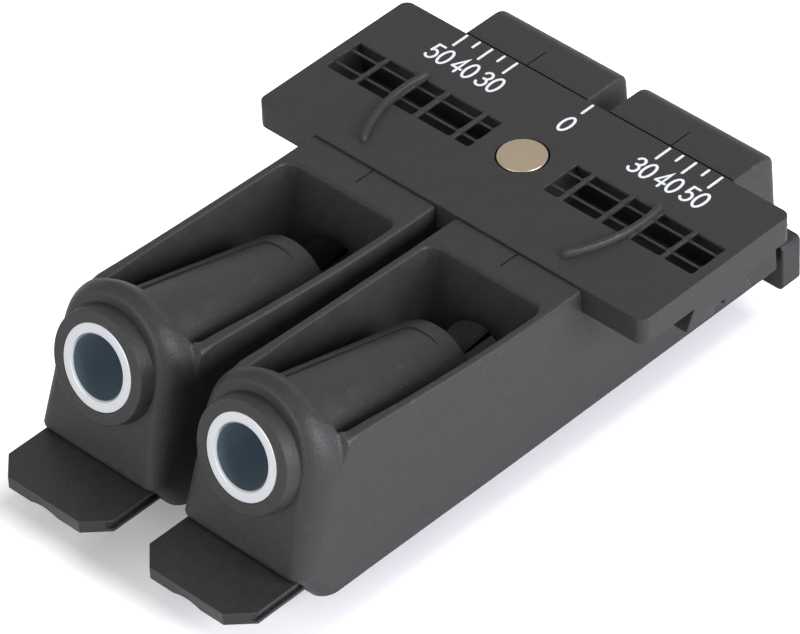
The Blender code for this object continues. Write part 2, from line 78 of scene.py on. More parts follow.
# The guide body's own frame: x across it, y = 0 at the plate's front edge, z = 0 at its base
PLATE_LOW, PLATE_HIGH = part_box("connecting_plate")
BODY_LOW, BODY_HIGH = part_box("left_jig_body")
SLIDE_LOW, SLIDE_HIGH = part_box("left_stop_slide")
GUIDE_Y = PLATE_LOW.y
GUIDE_Z = BODY_LOW.z

# Driving sizes that the frame gives
BODY_HALF = (BODY_HIGH.x - BODY_LOW.x) / 2
BODY_REAR = BODY_HIGH.y - GUIDE_Y
PLATE_DEPTH = PLATE_HIGH.y - PLATE_LOW.y
PLATE_HALF = PLATE_HIGH.x
SLIDE_TIP = SLIDE_LOW.y - GUIDE_Y
LIP_REAR = SLIDE_HIGH.y - GUIDE_Y
LIP_DROP = GUIDE_Z - SLIDE_LOW.z

# Clearances between the fine pieces
HAIRLINE = 0.06 * MM
REAR_SEAM = 0.72 * MM
RUN_GAP = 0.3 * MM
REACH = 0.1
LARGE_FACE = 6 * MM * MM

# Guide body
BODY_HEIGHT = 22.4 * MM
EDGE_ROUND = 0.5 * MM
REAR_RAKE = 1.2 * MM
REAR_ROUND = 3.0 * MM
REAR_CORNER = 1.6 * MM
WALL_LEAN = 0.6 * MM
LEAN_START = 12 * MM
WALL_RISE_Y = 14 * MM
WALL_RISE = 2.6 * MM
WALL_BEND = 1.2 * MM
HEAD_Y = 46 * MM
DRILL_TILT = math.radians(15)
FACE_Y = -55.99 * MM
FACE_Z = 21.49 * MM
BORE_RADIUS = 5.2 * MM
BUSH_RADIUS = 6.68 * MM
BUSH_BORE = 4.85 * MM
BUSH_GAP = 0.02 * MM
BUSH_LENGTH = 32 * MM
BOSS_RADIUS = 8.6 * MM
BOSS_FOOT_RADIUS = 8.95 * MM
BOSS_RISE = 2.45 * MM
BOSS_EDGE = 0.25 * MM
BOSS_ROOT = 6 * MM
ARCH_RADIUS = 12.0 * MM
ARCH_BACK = 8.8 * MM
ARCH_SIDE_BACK = 3.6 * MM
SHOULDER_ROUND = 2.6 * MM
SHOULDER_START = 5 * MM
SHOULDER_END = 11 * MM
RIM_WIDTH = 1.8 * MM
RIM_LENGTH = 3.0 * MM
CREST_ROUND = 1.6 * MM
HEAD_BLEND = 2.6 * MM
HEAD_BLEND_START = 6 * MM
HEAD_FREE_START = 7 * MM
HEAD_DEPTH = 12 * MM
HEAD_SEAM = 0.15 * MM
FLARE_WIDTH = 2.9 * MM
FLARE_LENGTH = 4.8 * MM
FLARE_THINNING = 0.9 * MM
FLARE_SHORTENING = 2.4 * MM
TUBE_RADIUS = 8.7 * MM
TUBE_START = 5.5 * MM
TUBE_LENGTH = 38.5 * MM
TUBE_EDGE = 0.3 * MM
TUBE_FILLET = 0.2 * MM
POCKET_WALL = 1.3 * MM
POCKET_REAR = 47.6 * MM
POCKET_FRONT = -47.8 * MM
POCKET_NECK = 0.5 * MM
POCKET_NECK_START = 9 * MM
POCKET_NECK_END = 22 * MM
POCKET_FLOOR = 7.2 * MM
POCKET_CORNER = 2.0 * MM
POCKET_NOSE = 0.5 * MM
POCKET_SLOPE_LOW = 0.35
POCKET_SLOPE_HIGH = 0.27
EXIT_RADIUS = 5.8 * MM
EXIT_END = 38 * MM
BORE_EDGE = 0.25 * MM
SKIRT_HEIGHT = 5 * MM
SKIRT_Y = -57.1 * MM
SKIRT_SLOPE = 0.76
SKIRT_CORNER = 2.4 * MM
PANEL_DEPTH = 0.2 * MM
PANEL_SHIFT = 0.35 * MM
PANEL_START = 8.8 * MM
PANEL_END = 35.3 * MM
PANEL_CORNER = 1.2 * MM
PANEL_TURN = math.radians(24)
MARK_HALF = 0.13 * MM
MARK_DEPTH = 0.25 * MM
FRONT_MARK = 3.8 * MM
REAR_MARK = 4.8 * MM
ROUND_SIDES = 160
MAGNET_SIDES = 96

# Plate, seen from above, and its rail
PLATE_TOP = BODY_HEIGHT + 0.65 * MM
PLATE_THICKNESS = 4.55 * MM
PLATE_BOTTOM = PLATE_TOP - PLATE_THICKNESS
PLATE_CORNER = 1.5 * MM
RAIL_Y = PLATE_DEPTH / 2 + 0.3 * MM
RAIL_BOTTOM = PLATE_LOW.z - GUIDE_Z
RAIL_FOOT = 7.0 * MM
RAIL_NECK = 5.25 * MM
RACK_GROOVE_HALF = 1.2 * MM
RACK_GROOVE_DEPTH = 1.1 * MM

# Stop slide
SLIDE_HALF = 10.55 * MM
SLIDE_UNDER = 2.9 * MM
SLIDE_TOP = 5.0 * MM
CHANNEL_TOP = SLIDE_TOP + RUN_GAP
SLIDE_LEDGE = 1.2 * MM
SLIDE_GROOVE = 0.8 * MM
SLOT_HALF = 5.05 * MM
SLOT_START = 12.2 * MM
SLOT_REAR = 32.6 * MM
TAB_CHAMFER = 3.4 * MM
NOTCH_RADIUS = 7 * MM
NOTCH_DEPTH = 0.5 * MM
NOTCH_LENGTH = 3 * MM
LIP_FRONT = BODY_REAR + RUN_GAP
LIP_EDGE = 0.9 * MM

# Frames for outlines: in (y, z) drawn out along x, in (x, z) along y, and in (x, y) along z
SIDE_FRAME = Matrix(((0, 0, 1, 0), (1, 0, 0, 0), (0, 1, 0, 0), (0, 0, 0, 1)))
FRONT_FRAME = Matrix(((1, 0, 0, 0), (0, 0, 1, 0), (0, 1, 0, 0), (0, 0, 0, 1)))
PLAN_FRAME = Matrix()
DRILL_FRAME = Matrix.Translation((0, FACE_Y, FACE_Z)) @ Matrix.Rotation(math.pi / 2 - DRILL_TILT, 4, "X")


# Settings that a user would change

class FinishSettings(bpy.types.PropertyGroup):
    """Colours and textures of the jig's plastic, metal and print"""
    plastic: FloatVectorProperty(
        name="Plastic", description="Colour of the moulded pieces", subtype="COLOR",
        default=(0.0275, 0.0265, 0.0258), min=0, max=1)
    plastic_roughness: FloatProperty(
        name="Plastic roughness", description="How matt the moulded pieces are", subtype="FACTOR",
        default=0.46, min=0, max=1)
    grain_size: FloatProperty(
        name="Grain size", description="Distance between grains of the mould's texture", subtype="DISTANCE",
        default=0.24 * MM, min=0.05 * MM, max=2 * MM, precision=5)
    grain_depth: FloatProperty(
        name="Grain depth", description="Height of the mould's texture", subtype="DISTANCE",
        default=0.05 * MM, min=0, max=0.2 * MM, precision=6)
    steel: FloatVectorProperty(
        name="Bush steel", description="Colour of the guide bushes", subtype="COLOR",
        default=(0.485, 0.503, 0.512), min=0, max=1)
    nickel: FloatVectorProperty(
        name="Nickel", description="Colour of the magnet's plating", subtype="COLOR",
        default=(0.37, 0.30, 0.218), min=0, max=1)
    spring_steel: FloatVectorProperty(
        name="Spring steel", description="Colour of the click balls, plungers and springs", subtype="COLOR",
        default=(0.45, 0.46, 0.48), min=0, max=1)
    print_white: FloatVectorProperty(
        name="Scale print", description="Colour of the printed scale", subtype="COLOR",
        default=(0.83, 0.86, 0.88), min=0, max=1)


class MouldSettings(bpy.types.PropertyGroup):
    """How finely the moulded pieces are made"""
    mesh_step: FloatProperty(
        name="Mesh step", description="Mesh step of the guide body's form", subtype="DISTANCE",
        default=0.3 * MM, min=0.2 * MM, max=1 * MM, precision=5)
    kept_share: FloatProperty(
        name="Kept share", description="Share of the faces kept on the guide body", subtype="FACTOR",
        default=0.6, min=0.1, max=1)
    edge_round: FloatProperty(
        name="Edge round", description="Radius of the small edges of the plate and slides",
        subtype="DISTANCE", default=0.28 * MM, min=0.05 * MM, max=0.6 * MM, precision=5)


class ScaleSettings(bpy.types.PropertyGroup):
    """Sizes of the printed scale"""
    numeral_height: FloatProperty(
        name="Numeral height", description="Height of the numerals, between stroke middles",
        subtype="DISTANCE", default=3.35 * MM, min=1 * MM, max=6 * MM, precision=4)
    numeral_width: FloatProperty(
        name="Numeral width", description="Width of the numerals, between stroke middles",
        subtype="DISTANCE", default=1.58 * MM, min=0.5 * MM, max=3 * MM, precision=4)
    numeral_pitch: FloatProperty(
        name="Numeral pitch", description="Distance between two numerals of one number",
        subtype="DISTANCE", default=2.2 * MM, min=1 * MM, max=5 * MM, precision=4)
    numeral_y: FloatProperty(
        name="Numeral line", description="Middle of the numerals behind the plate's front edge",
        subtype="DISTANCE", default=25.4 * MM, min=5 * MM, max=30 * MM, precision=4)
    stroke: FloatProperty(
        name="Stroke", description="Width of the numerals' and marks' strokes", subtype="DISTANCE",
        default=0.44 * MM, min=0.1 * MM, max=1 * MM, precision=5)


class StageSettings(bpy.types.PropertyGroup):
    """Camera, floor and light"""
    azimuth: FloatProperty(
        name="Azimuth", description="Camera angle round the jig", subtype="ANGLE",
        default=math.radians(45.234))
    elevation: FloatProperty(
        name="Elevation", description="Camera angle above the floor", subtype="ANGLE",
        default=math.radians(40.585))
    roll: FloatProperty(
        name="Roll", description="Camera turn about its own line of sight", subtype="ANGLE",
        default=math.radians(-2.566))
    lens: FloatProperty(
        name="Lens", description="Focal length in millimetres on a 36 mm sensor", default=293.4, min=20,
        max=1000)
    distance: FloatProperty(
        name="Distance", description="From the camera to the plate's front edge", subtype="DISTANCE",
        default=0.9452, min=0.1, max=10, precision=4)
    offset_right: FloatProperty(
        name="Offset right", description="Camera's move to its right", subtype="DISTANCE",
        default=-7.265 * MM, precision=5)
    offset_up: FloatProperty(
        name="Offset up", description="Camera's move upwards in its own frame", subtype="DISTANCE",
        default=2.088 * MM, precision=5)
    floor: FloatVectorProperty(
        name="Floor", description="Colour of the floor", subtype="COLOR", default=(0.86, 0.86, 0.87), min=0,
        max=1)
    world_light: FloatProperty(
        name="World light", description="Strength of the even light from all round", default=0.45, min=0,
        max=4)
    key_light: FloatProperty(
        name="Key light", description="Strength of the soft lamp over the jig", default=0.25, min=0, max=100)
    side_light: FloatProperty(
        name="Side light", description="Strength of the soft lamp at the right", default=16.4, min=0,
        max=100)
    front_light: FloatProperty(
        name="Front light", description="Strength of the soft lamp before the bushes", default=6.0, min=0,
        max=100)


# Shapes

def box(low, high):
    """Closed box between two corners."""
    low, high = Vector(low), Vector(high)
    bm = bmesh.new()
    size = Matrix.Diagonal((*(high - low), 1))
    bmesh.ops.create_cube(bm, size=1, matrix=Matrix.Translation((low + high) / 2) @ size)
    return bm


def cylinder(radius, low, high, sides, place=PLAN_FRAME):
    """Closed cylinder along z from low to high, moved by a matrix."""
    bm = bmesh.new()
    middle = Matrix.Translation((0, 0, (low + high) / 2))
    bmesh.ops.create_cone(bm, cap_ends=True, segments=sides, radius1=radius, radius2=radius,
                          depth=high - low, matrix=place @ middle)
    return bm


def prism(outline, low, high, place):
    """Closed prism: an outline in x and y drawn out along z from low to high, moved by a matrix."""
    bm = bmesh.new()
    face = bm.faces.new([bm.verts.new((x, y, low)) for x, y in outline])
    made = bmesh.ops.extrude_face_region(bm, geom=[face])["geom"]
    moved = [item for item in made if isinstance(item, bmesh.types.BMVert)]
    bmesh.ops.translate(bm, verts=moved, vec=(0, 0, high - low))
    bm.transform(place)
    return bm


def turned(profile, sides, place=PLAN_FRAME):
    """Closed shape turned about z from (radius, z) points: a loop, or a run from axis to axis."""
    bm = bmesh.new()
    points = [bm.verts.new((radius, 0, z)) for radius, z in profile]
    pairs = zip(points, points[1:] + points[:1])
    edges = [bm.edges.new(pair) for pair in pairs if pair[0].co.x + pair[1].co.x > 0]
    bmesh.ops.spin(bm, geom=points + edges, axis=(0, 0, 1), cent=(0, 0, 0), steps=sides,
                   angle=2 * math.pi, use_merge=True)
    bmesh.ops.remove_doubles(bm, verts=bm.verts, dist=0.001 * MM)
    bm.transform(place)
    return bm


def arc(centre, radius, start, end, steps):
    """Points of an arc round a centre, both ends included."""
    turns = [start + (end - start) * i / steps for i in range(steps + 1)]
    return [(centre[0] + radius * math.cos(a), centre[1] + radius * math.sin(a)) for a in turns]


def rounded_rectangle(low, high, radius, steps=6):
    """Outline of a rectangle with round corners."""
    centres = ((high[0], high[1], -1, -1), (low[0], high[1], 1, -1), (low[0], low[1], 1, 1),
               (high[0], low[1], -1, 1))
    points = []
    for corner, (x, y, sx, sy) in enumerate(centres):
        start = corner * math.pi / 2
        points += arc((x + sx * radius, y + sy * radius), radius, start, start + math.pi / 2, steps)
    return points


def joined(shapes):
    """One bmesh that holds several shapes."""
    bm = bmesh.new()
    for shape in shapes:
        mesh = bpy.data.meshes.new("shape")
        shape.to_mesh(mesh)
        shape.free()
        bm.from_mesh(mesh)
        bpy.data.meshes.remove(mesh)
    return bm


def taken_shape(thing, mesh=None):
    """The shape of an object that is removed from the scene, added to that of a mesh if one is given."""
    bm = bmesh.new()
    if mesh is not None:
        bm.from_mesh(mesh)
    bm.from_mesh(thing.data)
    bpy.data.objects.remove(thing, do_unlink=True)
    return bm


def mirrored_box(x0, x1, low, high):
    """Box between x0 and x1, either of which may be the greater, and two (y, z) corners."""
    return box((min(x0, x1), *low), (max(x0, x1), *high))


def new_object(name, bm):
    """Object in the scene with a shape's mesh, its faces turned outwards."""
    bmesh.ops.recalc_face_normals(bm, faces=bm.faces)
    mesh = bpy.data.meshes.new(name)
    bm.to_mesh(mesh)
    bm.free()
    thing = bpy.data.objects.new(name, mesh)
    bpy.context.scene.collection.objects.link(thing)
    return thing


def turned_object(name, profile, sides, place=PLAN_FRAME):
    """Turned piece, shaded smooth but for its crisp edges."""
    thing = new_object(name, turned(profile, sides, place))
    thing.data.shade_smooth()
    thing.data.set_sharp_from_angle(angle=math.radians(50))
    return thing


class Moulding:
    """Object that is joined, cut, softened and rounded step by step."""

    def __init__(self, name, bm):
        self.thing = new_object(name, bm)
        self.tools = []

    def modifier(self, kind, **values):
        """Adds a modifier and sets its values."""
        made = self.thing.modifiers.new(kind.lower(), kind)
        for name, value in values.items():
            setattr(made, name, value)
        return made

    def combine(self, operation, bm, solver="EXACT"):
        """Joins a shape to the object or cuts it out of it, once the modifiers are applied."""
        tool = new_object(self.thing.name + "_tool", bm)
        tool.hide_render = True
        tool.display_type = "WIRE"
        self.tools.append(tool)
        self.modifier("BOOLEAN", operation=operation, object=tool, solver=solver)
        return self

    def add(self, bm):
        """Joins a shape to the object."""
        return self.combine("UNION", bm)

    def cut(self, bm):
        """Cuts a shape out of the object."""
        return self.combine("DIFFERENCE", bm)

    def bevel(self, width, segments=3, angle=35):
        """Rounds every edge that is sharper than an angle."""
        self.modifier("BEVEL", width=width, segments=segments, limit_method="ANGLE",
                      angle_limit=math.radians(angle))
        return self

    def apply(self):
        """Turns the modifiers' result into the object's own mesh."""
        bpy.context.view_layer.update()
        seen = self.thing.evaluated_get(bpy.context.evaluated_depsgraph_get())
        mesh = bpy.data.meshes.new_from_object(seen)
        mesh.name = self.thing.name
        self.thing.modifiers.clear()
        self.thing.data = mesh
        for tool in self.tools:
            bpy.data.objects.remove(tool, do_unlink=True)
        self.tools = []
        return self

    def cut_now(self, bm):
        """Crisp cut into a dense closed mesh; raises an error if nothing is cut."""
        before = len(self.thing.data.vertices)
        self.combine("DIFFERENCE", bm, "MANIFOLD").apply()
        if len(self.thing.data.vertices) in (0, before):
            raise RuntimeError("the cut into %s did nothing" % self.thing.name)
        return self

    def finish(self, angle, large_face=None):
        """Merges doubled points, and shades round stretches smooth, corners sharp and large faces flat."""
        mesh = self.thing.data
        bm = bmesh.new()
        bm.from_mesh(mesh)
        bmesh.ops.remove_doubles(bm, verts=bm.verts, dist=0.002 * MM)
        bmesh.ops.dissolve_degenerate(bm, edges=bm.edges, dist=0.001 * MM)
        bm.to_mesh(mesh)
        mesh.shade_smooth()
        mesh.set_sharp_from_angle(angle=math.radians(angle))
        if large_face:
            bm.clear()
            bm.from_mesh(mesh)
            large = {face for face in bm.faces if face.calc_area() > large_face}
            for edge in bm.edges:
                if len(edge.link_faces) == 2 and large.intersection(edge.link_faces):
                    if edge.calc_face_angle() > math.radians(1):
                        edge.smooth = False
            bm.to_mesh(mesh)
        bm.free()
        return self.thing


# Shader node groups

class GroupMaker:
    """Small helper that adds nodes to a tree and links them."""

    def __init__(self, tree):
        self.tree = tree

    def add(self, kind, inputs=None, **values):
        """Adds a node: a socket among the inputs is linked, and any other input is its value."""
        node = self.tree.nodes.new(kind)
        for name, value in values.items():
            setattr(node, name, value)
        for name, value in (inputs or {}).items():
            if isinstance(value, bpy.types.NodeSocket):
                self.tree.links.new(value, node.inputs[name])
            else:
                node.inputs[name].default_value = value
        return node

    def math(self, operation, first, second=0.0):
        """Result of a sum with one or two inputs."""
        return self.add("ShaderNodeMath", {0: first, 1: second}, operation=operation).outputs[0]

    def ramp(self, value, low, high, to_low=0.0, to_high=1.0):
        """Straight ramp between two values, level beyond them."""
        inputs = {"Value": value, "From Min": low, "From Max": high, "To Min": to_low, "To Max": to_high}
        return self.add("ShaderNodeMapRange", inputs, clamp=True).outputs["Result"]

    def mix(self, share, first, second):
        """Mix of two colours, all of the second where the share is 1."""
        node = self.add("ShaderNodeMix", data_type="RGBA")
        for name, value in (("Factor_Float", share), ("A_Color", first), ("B_Color", second)):
            socket = next(item for item in node.inputs if item.identifier == name)
            if isinstance(value, bpy.types.NodeSocket):
                self.tree.links.new(value, socket)
            else:
                socket.default_value = value
        return next(item for item in node.outputs if item.identifier == "Result_Color")


def new_group(name, inputs, outputs):
    """Empty shader node group with number sockets; returns its maker and the outputs of its input node."""
    group = bpy.data.node_groups.new(name, "ShaderNodeTree")
    for label, default in inputs:
        socket = group.interface.new_socket(name=label, in_out="INPUT", socket_type="NodeSocketFloat")
        socket.default_value = default
    for label in outputs:
        group.interface.new_socket(name=label, in_out="OUTPUT", socket_type="NodeSocketFloat")
    maker = GroupMaker(group)
    return maker, maker.add("NodeGroupInput").outputs


def make_grain_group():
    """Texture that spark erosion leaves in a mould: fine round grains, with patches a little coarser."""
    maker, given = new_group("mould_grain", [("Size", 0.26 * MM), ("Depth", 0.02 * MM), ("Offset", 0.0)],
                             ["Height", "Patches", "Speckle"])
    place = maker.add("ShaderNodeTexCoord").outputs["Object"]
    shift = maker.add("ShaderNodeCombineXYZ", {"X": given["Offset"], "Y": given["Offset"]}).outputs[0]
    place = maker.add("ShaderNodeVectorMath", {0: place, 1: shift}, operation="ADD").outputs[0]
    scale = maker.math("DIVIDE", 1.0, given["Size"])
    fine = maker.add("ShaderNodeTexNoise", {"Vector": place, "Scale": scale, "Detail": 2.0, "Roughness": 0.6})
    coarse = maker.math("MULTIPLY", scale, 0.7)
    cells = maker.add("ShaderNodeTexVoronoi", {"Vector": place, "Scale": coarse}, feature="SMOOTH_F1")
    patches = maker.add("ShaderNodeTexNoise", {"Vector": place, "Scale": 420.0, "Detail": 3.0})
    mixed = maker.math("ADD", fine.outputs["Fac"], maker.math("MULTIPLY", cells.outputs["Distance"], 0.6))
    patch = maker.ramp(patches.outputs["Fac"], 0.35, 0.65)
    height = maker.math("MULTIPLY", mixed, given["Depth"])
    # Speckle: the grain's high points, which the plastic makes glossier and lightens in colour as painted
    # glints.
    speckle = maker.ramp(fine.outputs["Fac"], 0.50, 0.72)
    maker.add("NodeGroupOutput", {"Height": height, "Patches": patch, "Speckle": speckle})


def make_edge_group():
    """Mask of rounded outer edges, which handling polishes, and where the plastic paints a highlight."""
    maker, given = new_group("edge_polish_and_highlight", [("Low", 0.57), ("High", 0.68)], ["Edge"])
    bend = maker.add("ShaderNodeNewGeometry").outputs["Pointiness"]
    maker.add("NodeGroupOutput", {"Edge": maker.ramp(bend, given["Low"], given["High"])})


def make_turning_group():
    """Fine rings that turning and grinding leave on a round metal face."""
    maker, given = new_group("turning_rings", [("Pitch", 0.12 * MM), ("Depth", 0.002 * MM)],
                             ["Height", "Rings", "Radius"])
    place = maker.add("ShaderNodeTexCoord").outputs["Object"]
    parts = maker.add("ShaderNodeSeparateXYZ", {0: place}).outputs
    squares = [maker.math("MULTIPLY", parts[axis], parts[axis]) for axis in "XY"]
    radius = maker.math("SQRT", maker.math("ADD", *squares))
    along = maker.add("ShaderNodeCombineXYZ", {"X": radius, "Y": parts["Z"]}).outputs[0]
    scale = maker.math("DIVIDE", 1.0, given["Pitch"])
    rings = maker.add("ShaderNodeTexNoise", {"Vector": along, "Scale": scale, "Detail": 2.0}).outputs["Fac"]
    height = maker.math("MULTIPLY", rings, given["Depth"])
    maker.add("NodeGroupOutput", {"Height": height, "Rings": rings, "Radius": radius})


# Materials

# Painted shade inside the bush's bore: dark blue-grey at the mouth, paler deeper in.
BORE_SHADE_MOUTH = (0.092, 0.125, 0.155, 1)
BORE_SHADE_INSIDE = (0.265, 0.355, 0.435, 1)
BORE_SHADE_DEPTH = 9 * MM


def new_material(name):
    """Material with its maker and its Principled shader."""
    material = bpy.data.materials.new(name)
    material.use_nodes = True
    maker = GroupMaker(material.node_tree)
    return material, maker, material.node_tree.nodes["Principled BSDF"]


def use_group(maker, name, **values):
    """Outputs of a shader node group that is placed with its own values."""
    node = maker.add("ShaderNodeGroup", node_tree=bpy.data.node_groups[name])
    for label, value in values.items():
        node.inputs[label].default_value = value
    return node.outputs


def shade(colour, factor):
    """Colour made darker or lighter by a factor, with alpha 1."""
    return (colour[0] * factor, colour[1] * factor, colour[2] * factor, 1)


def feed(maker, shader, **sources):
    """Links sockets to a shader's inputs, whose names are given with _ for a space."""
    for name, source in sources.items():
        maker.tree.links.new(source, shader.inputs[name.replace("_", " ")])


def raised(maker, height):
    """Normal of a surface that is raised by a height."""
    bump = maker.add("ShaderNodeBump", {"Strength": 1.0, "Distance": 1.0, "Height": height})
    return bump.outputs["Normal"]


def make_plastic(name, offset, tone=1.0):
    """Charcoal moulded plastic with a fine satin grain, a painted highlight on its rounded edges and painted
    glints on the grain's speckles.
    """
    finish = bpy.context.scene.jig_finish
    _, maker, shader = new_material(name)
    grain = use_group(maker, "mould_grain", Size=finish.grain_size, Depth=finish.grain_depth, Offset=offset)
    edge = use_group(maker, "edge_polish_and_highlight")
    dull, bright = shade(finish.plastic, 0.93 * tone), shade(finish.plastic, 1.08 * tone)
    colour = maker.mix(grain["Patches"], dull, bright)
    # Painted highlight: the colour is lightened on rounded edges.
    colour = maker.mix(maker.math("MULTIPLY", edge["Edge"], 0.5), colour, shade(finish.plastic, 2.4))
    # Painted glints: the colour is lightened on the grain's speckles.
    colour = maker.mix(maker.math("MULTIPLY", grain["Speckle"], 0.32), colour, shade(finish.plastic, 2.2))
    base = finish.plastic_roughness
    rough = maker.ramp(grain["Patches"], 0.0, 1.0, base - 0.03, base + 0.04)
    rough = maker.math("SUBTRACT", rough, maker.math("MULTIPLY", edge["Edge"], 0.08))
    rough = maker.math("SUBTRACT", rough, maker.math("MULTIPLY", grain["Speckle"], 0.14))
    shader.inputs["Specular IOR Level"].default_value = 0.20
    feed(maker, shader, Base_Color=colour, Roughness=rough, Normal=raised(maker, grain["Height"]))


def make_metal(name, colour, roughness, pitch, depth, bore=None):
    """Turned or ground metal with fine rings and small changes of gloss, and maybe a duller bore with painted
    shade.
    """
    _, maker, shader = new_material(name)
    rings = use_group(maker, "turning_rings", Pitch=pitch, Depth=depth)
    tint = maker.mix(rings["Rings"], shade(colour, 0.86), shade(colour, 1.10))
    rough = maker.ramp(rings["Rings"], 0.3, 0.7, roughness - 0.05, roughness + 0.06)
    shader.inputs["Metallic"].default_value = 1.0
    if bore:
        outside = maker.ramp(rings["Radius"], bore + 0.02 * MM, bore + 0.06 * MM)
        along = maker.add("ShaderNodeSeparateXYZ", {0: maker.add("ShaderNodeTexCoord").outputs["Object"]})
        # Painted shade in the bore: not metallic, darkest at the mouth and paler deeper in.
        deep = maker.ramp(along.outputs["Z"], 0.0, -BORE_SHADE_DEPTH)
        bore_shade = maker.mix(deep, BORE_SHADE_MOUTH, BORE_SHADE_INSIDE)
        tint = maker.mix(outside, bore_shade, tint)
        rough = maker.math("ADD", rough, maker.ramp(outside, 0.0, 1.0, 0.2, 0.0))
        feed(maker, shader, Metallic=outside)
    feed(maker, shader, Base_Color=tint, Roughness=rough, Normal=raised(maker, rings["Height"]))


def make_print(name):
    """White pad-printed ink that follows the plastic's grain."""
    finish = bpy.context.scene.jig_finish
    _, maker, shader = new_material(name)
    grain = use_group(maker, "mould_grain", Size=finish.grain_size, Depth=finish.grain_depth * 0.4,
                      Offset=0.3)
    colour = maker.mix(grain["Patches"], shade(finish.print_white, 0.95), shade(finish.print_white, 1.0))
    shader.inputs["Roughness"].default_value = 0.45
    feed(maker, shader, Base_Color=colour, Normal=raised(maker, grain["Height"]))


def dress(thing, material):
    """Gives an object one material."""
    thing.data.materials.clear()
    thing.data.materials.append(material)


def guide_x(side):
    """Middle of one guide body across the jig."""
    low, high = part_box(side + "_jig_body")
    return (low.x + high.x) / 2


def place_copy(source, name, x):
    """Copy of a finished piece in one guide's place."""
    thing = bpy.data.objects.new(name, source.data)
    bpy.context.scene.collection.objects.link(thing)
    thing.matrix_world = Matrix.Translation((x, GUIDE_Y, GUIDE_Z)) @ source.matrix_world
    return thing


def settle(thing, body, slot, material, *nodes):
    """Gives a finished piece its material and its body, and hides the nodes that it stands for; its slot is
    not used.
    """
    dress(thing, material)
    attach(thing, body)
    if nodes:
        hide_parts(*nodes)


# Guide body

def rounded_and(first, second, radius):
    """Field of the space inside both fields, its edge rounded by a radius."""
    corner = numpy.hypot(numpy.maximum(first + radius, 0), numpy.maximum(second + radius, 0))
    return numpy.minimum(numpy.maximum(first, second), -radius) + corner


def rounded_or(first, second, radius):
    """Field of the space inside either field, with a fillet where they meet."""
    corner = numpy.hypot(numpy.maximum(radius - first, 0), numpy.maximum(radius - second, 0))
    return numpy.maximum(numpy.minimum(first, second), radius) - corner


def eased(value, low, high):
    """Share from 0 to 1 between two values, with soft ends."""
    share = numpy.clip((value - low) / (high - low), 0, 1)
    return share * share * (3 - 2 * share)


def wall_half(y, z):
    """Half width of the guide body: its walls lean in a little towards the head."""
    upper = eased(z, 0, 24 * MM)
    return BODY_HALF - WALL_LEAN * eased(-y, LEAN_START, HEAD_Y) * (0.35 + 0.65 * upper)


def wall_top(y):
    """Height of the side walls: level at the rear, then rising straight to the head."""
    rise = (-WALL_RISE_Y - y) * (WALL_RISE / (HEAD_Y - WALL_RISE_Y))
    return BODY_HEIGHT + 0.5 * (rise + numpy.hypot(rise, WALL_BEND)) - 0.02 * MM


def drill_axes(y, z):
    """Depth behind the bush face, and height above the drill line."""
    ahead, above = y - FACE_Y, z - FACE_Z
    depth = ahead * math.cos(DRILL_TILT) - above * math.sin(DRILL_TILT)
    return depth, ahead * math.sin(DRILL_TILT) + above * math.cos(DRILL_TILT)


def head_front(x, depth, up, half):
    """Field of the head's front: an arch over straight sides, with its edge drawn back at the sides."""
    ring = numpy.hypot(x * (ARCH_RADIUS / half), numpy.maximum(up, 0))
    inward = numpy.where(up > 0, (1 - ring / ARCH_RADIUS) * half, half - numpy.abs(x))
    side = 1 - eased(up / numpy.maximum(ring, MM), 0.10, 0.80)
    low = eased(-up, 0, FACE_Z)
    across = RIM_WIDTH + side * (FLARE_WIDTH - RIM_WIDTH) - side * low * FLARE_THINNING
    along = RIM_LENGTH + side * (FLARE_LENGTH - RIM_LENGTH) - side * low * FLARE_SHORTENING
    first = numpy.maximum((across - inward) / across, 0)
    second = numpy.maximum((along - (depth - BOSS_RISE)) / along, 0)
    reach = numpy.hypot(first, second)
    corner = (reach - 1) * reach / numpy.maximum(numpy.hypot(first / across, second / along), 1)
    flat = numpy.maximum(-inward, BOSS_RISE - depth)
    return numpy.where((first > 0) & (second > 0), corner, flat)


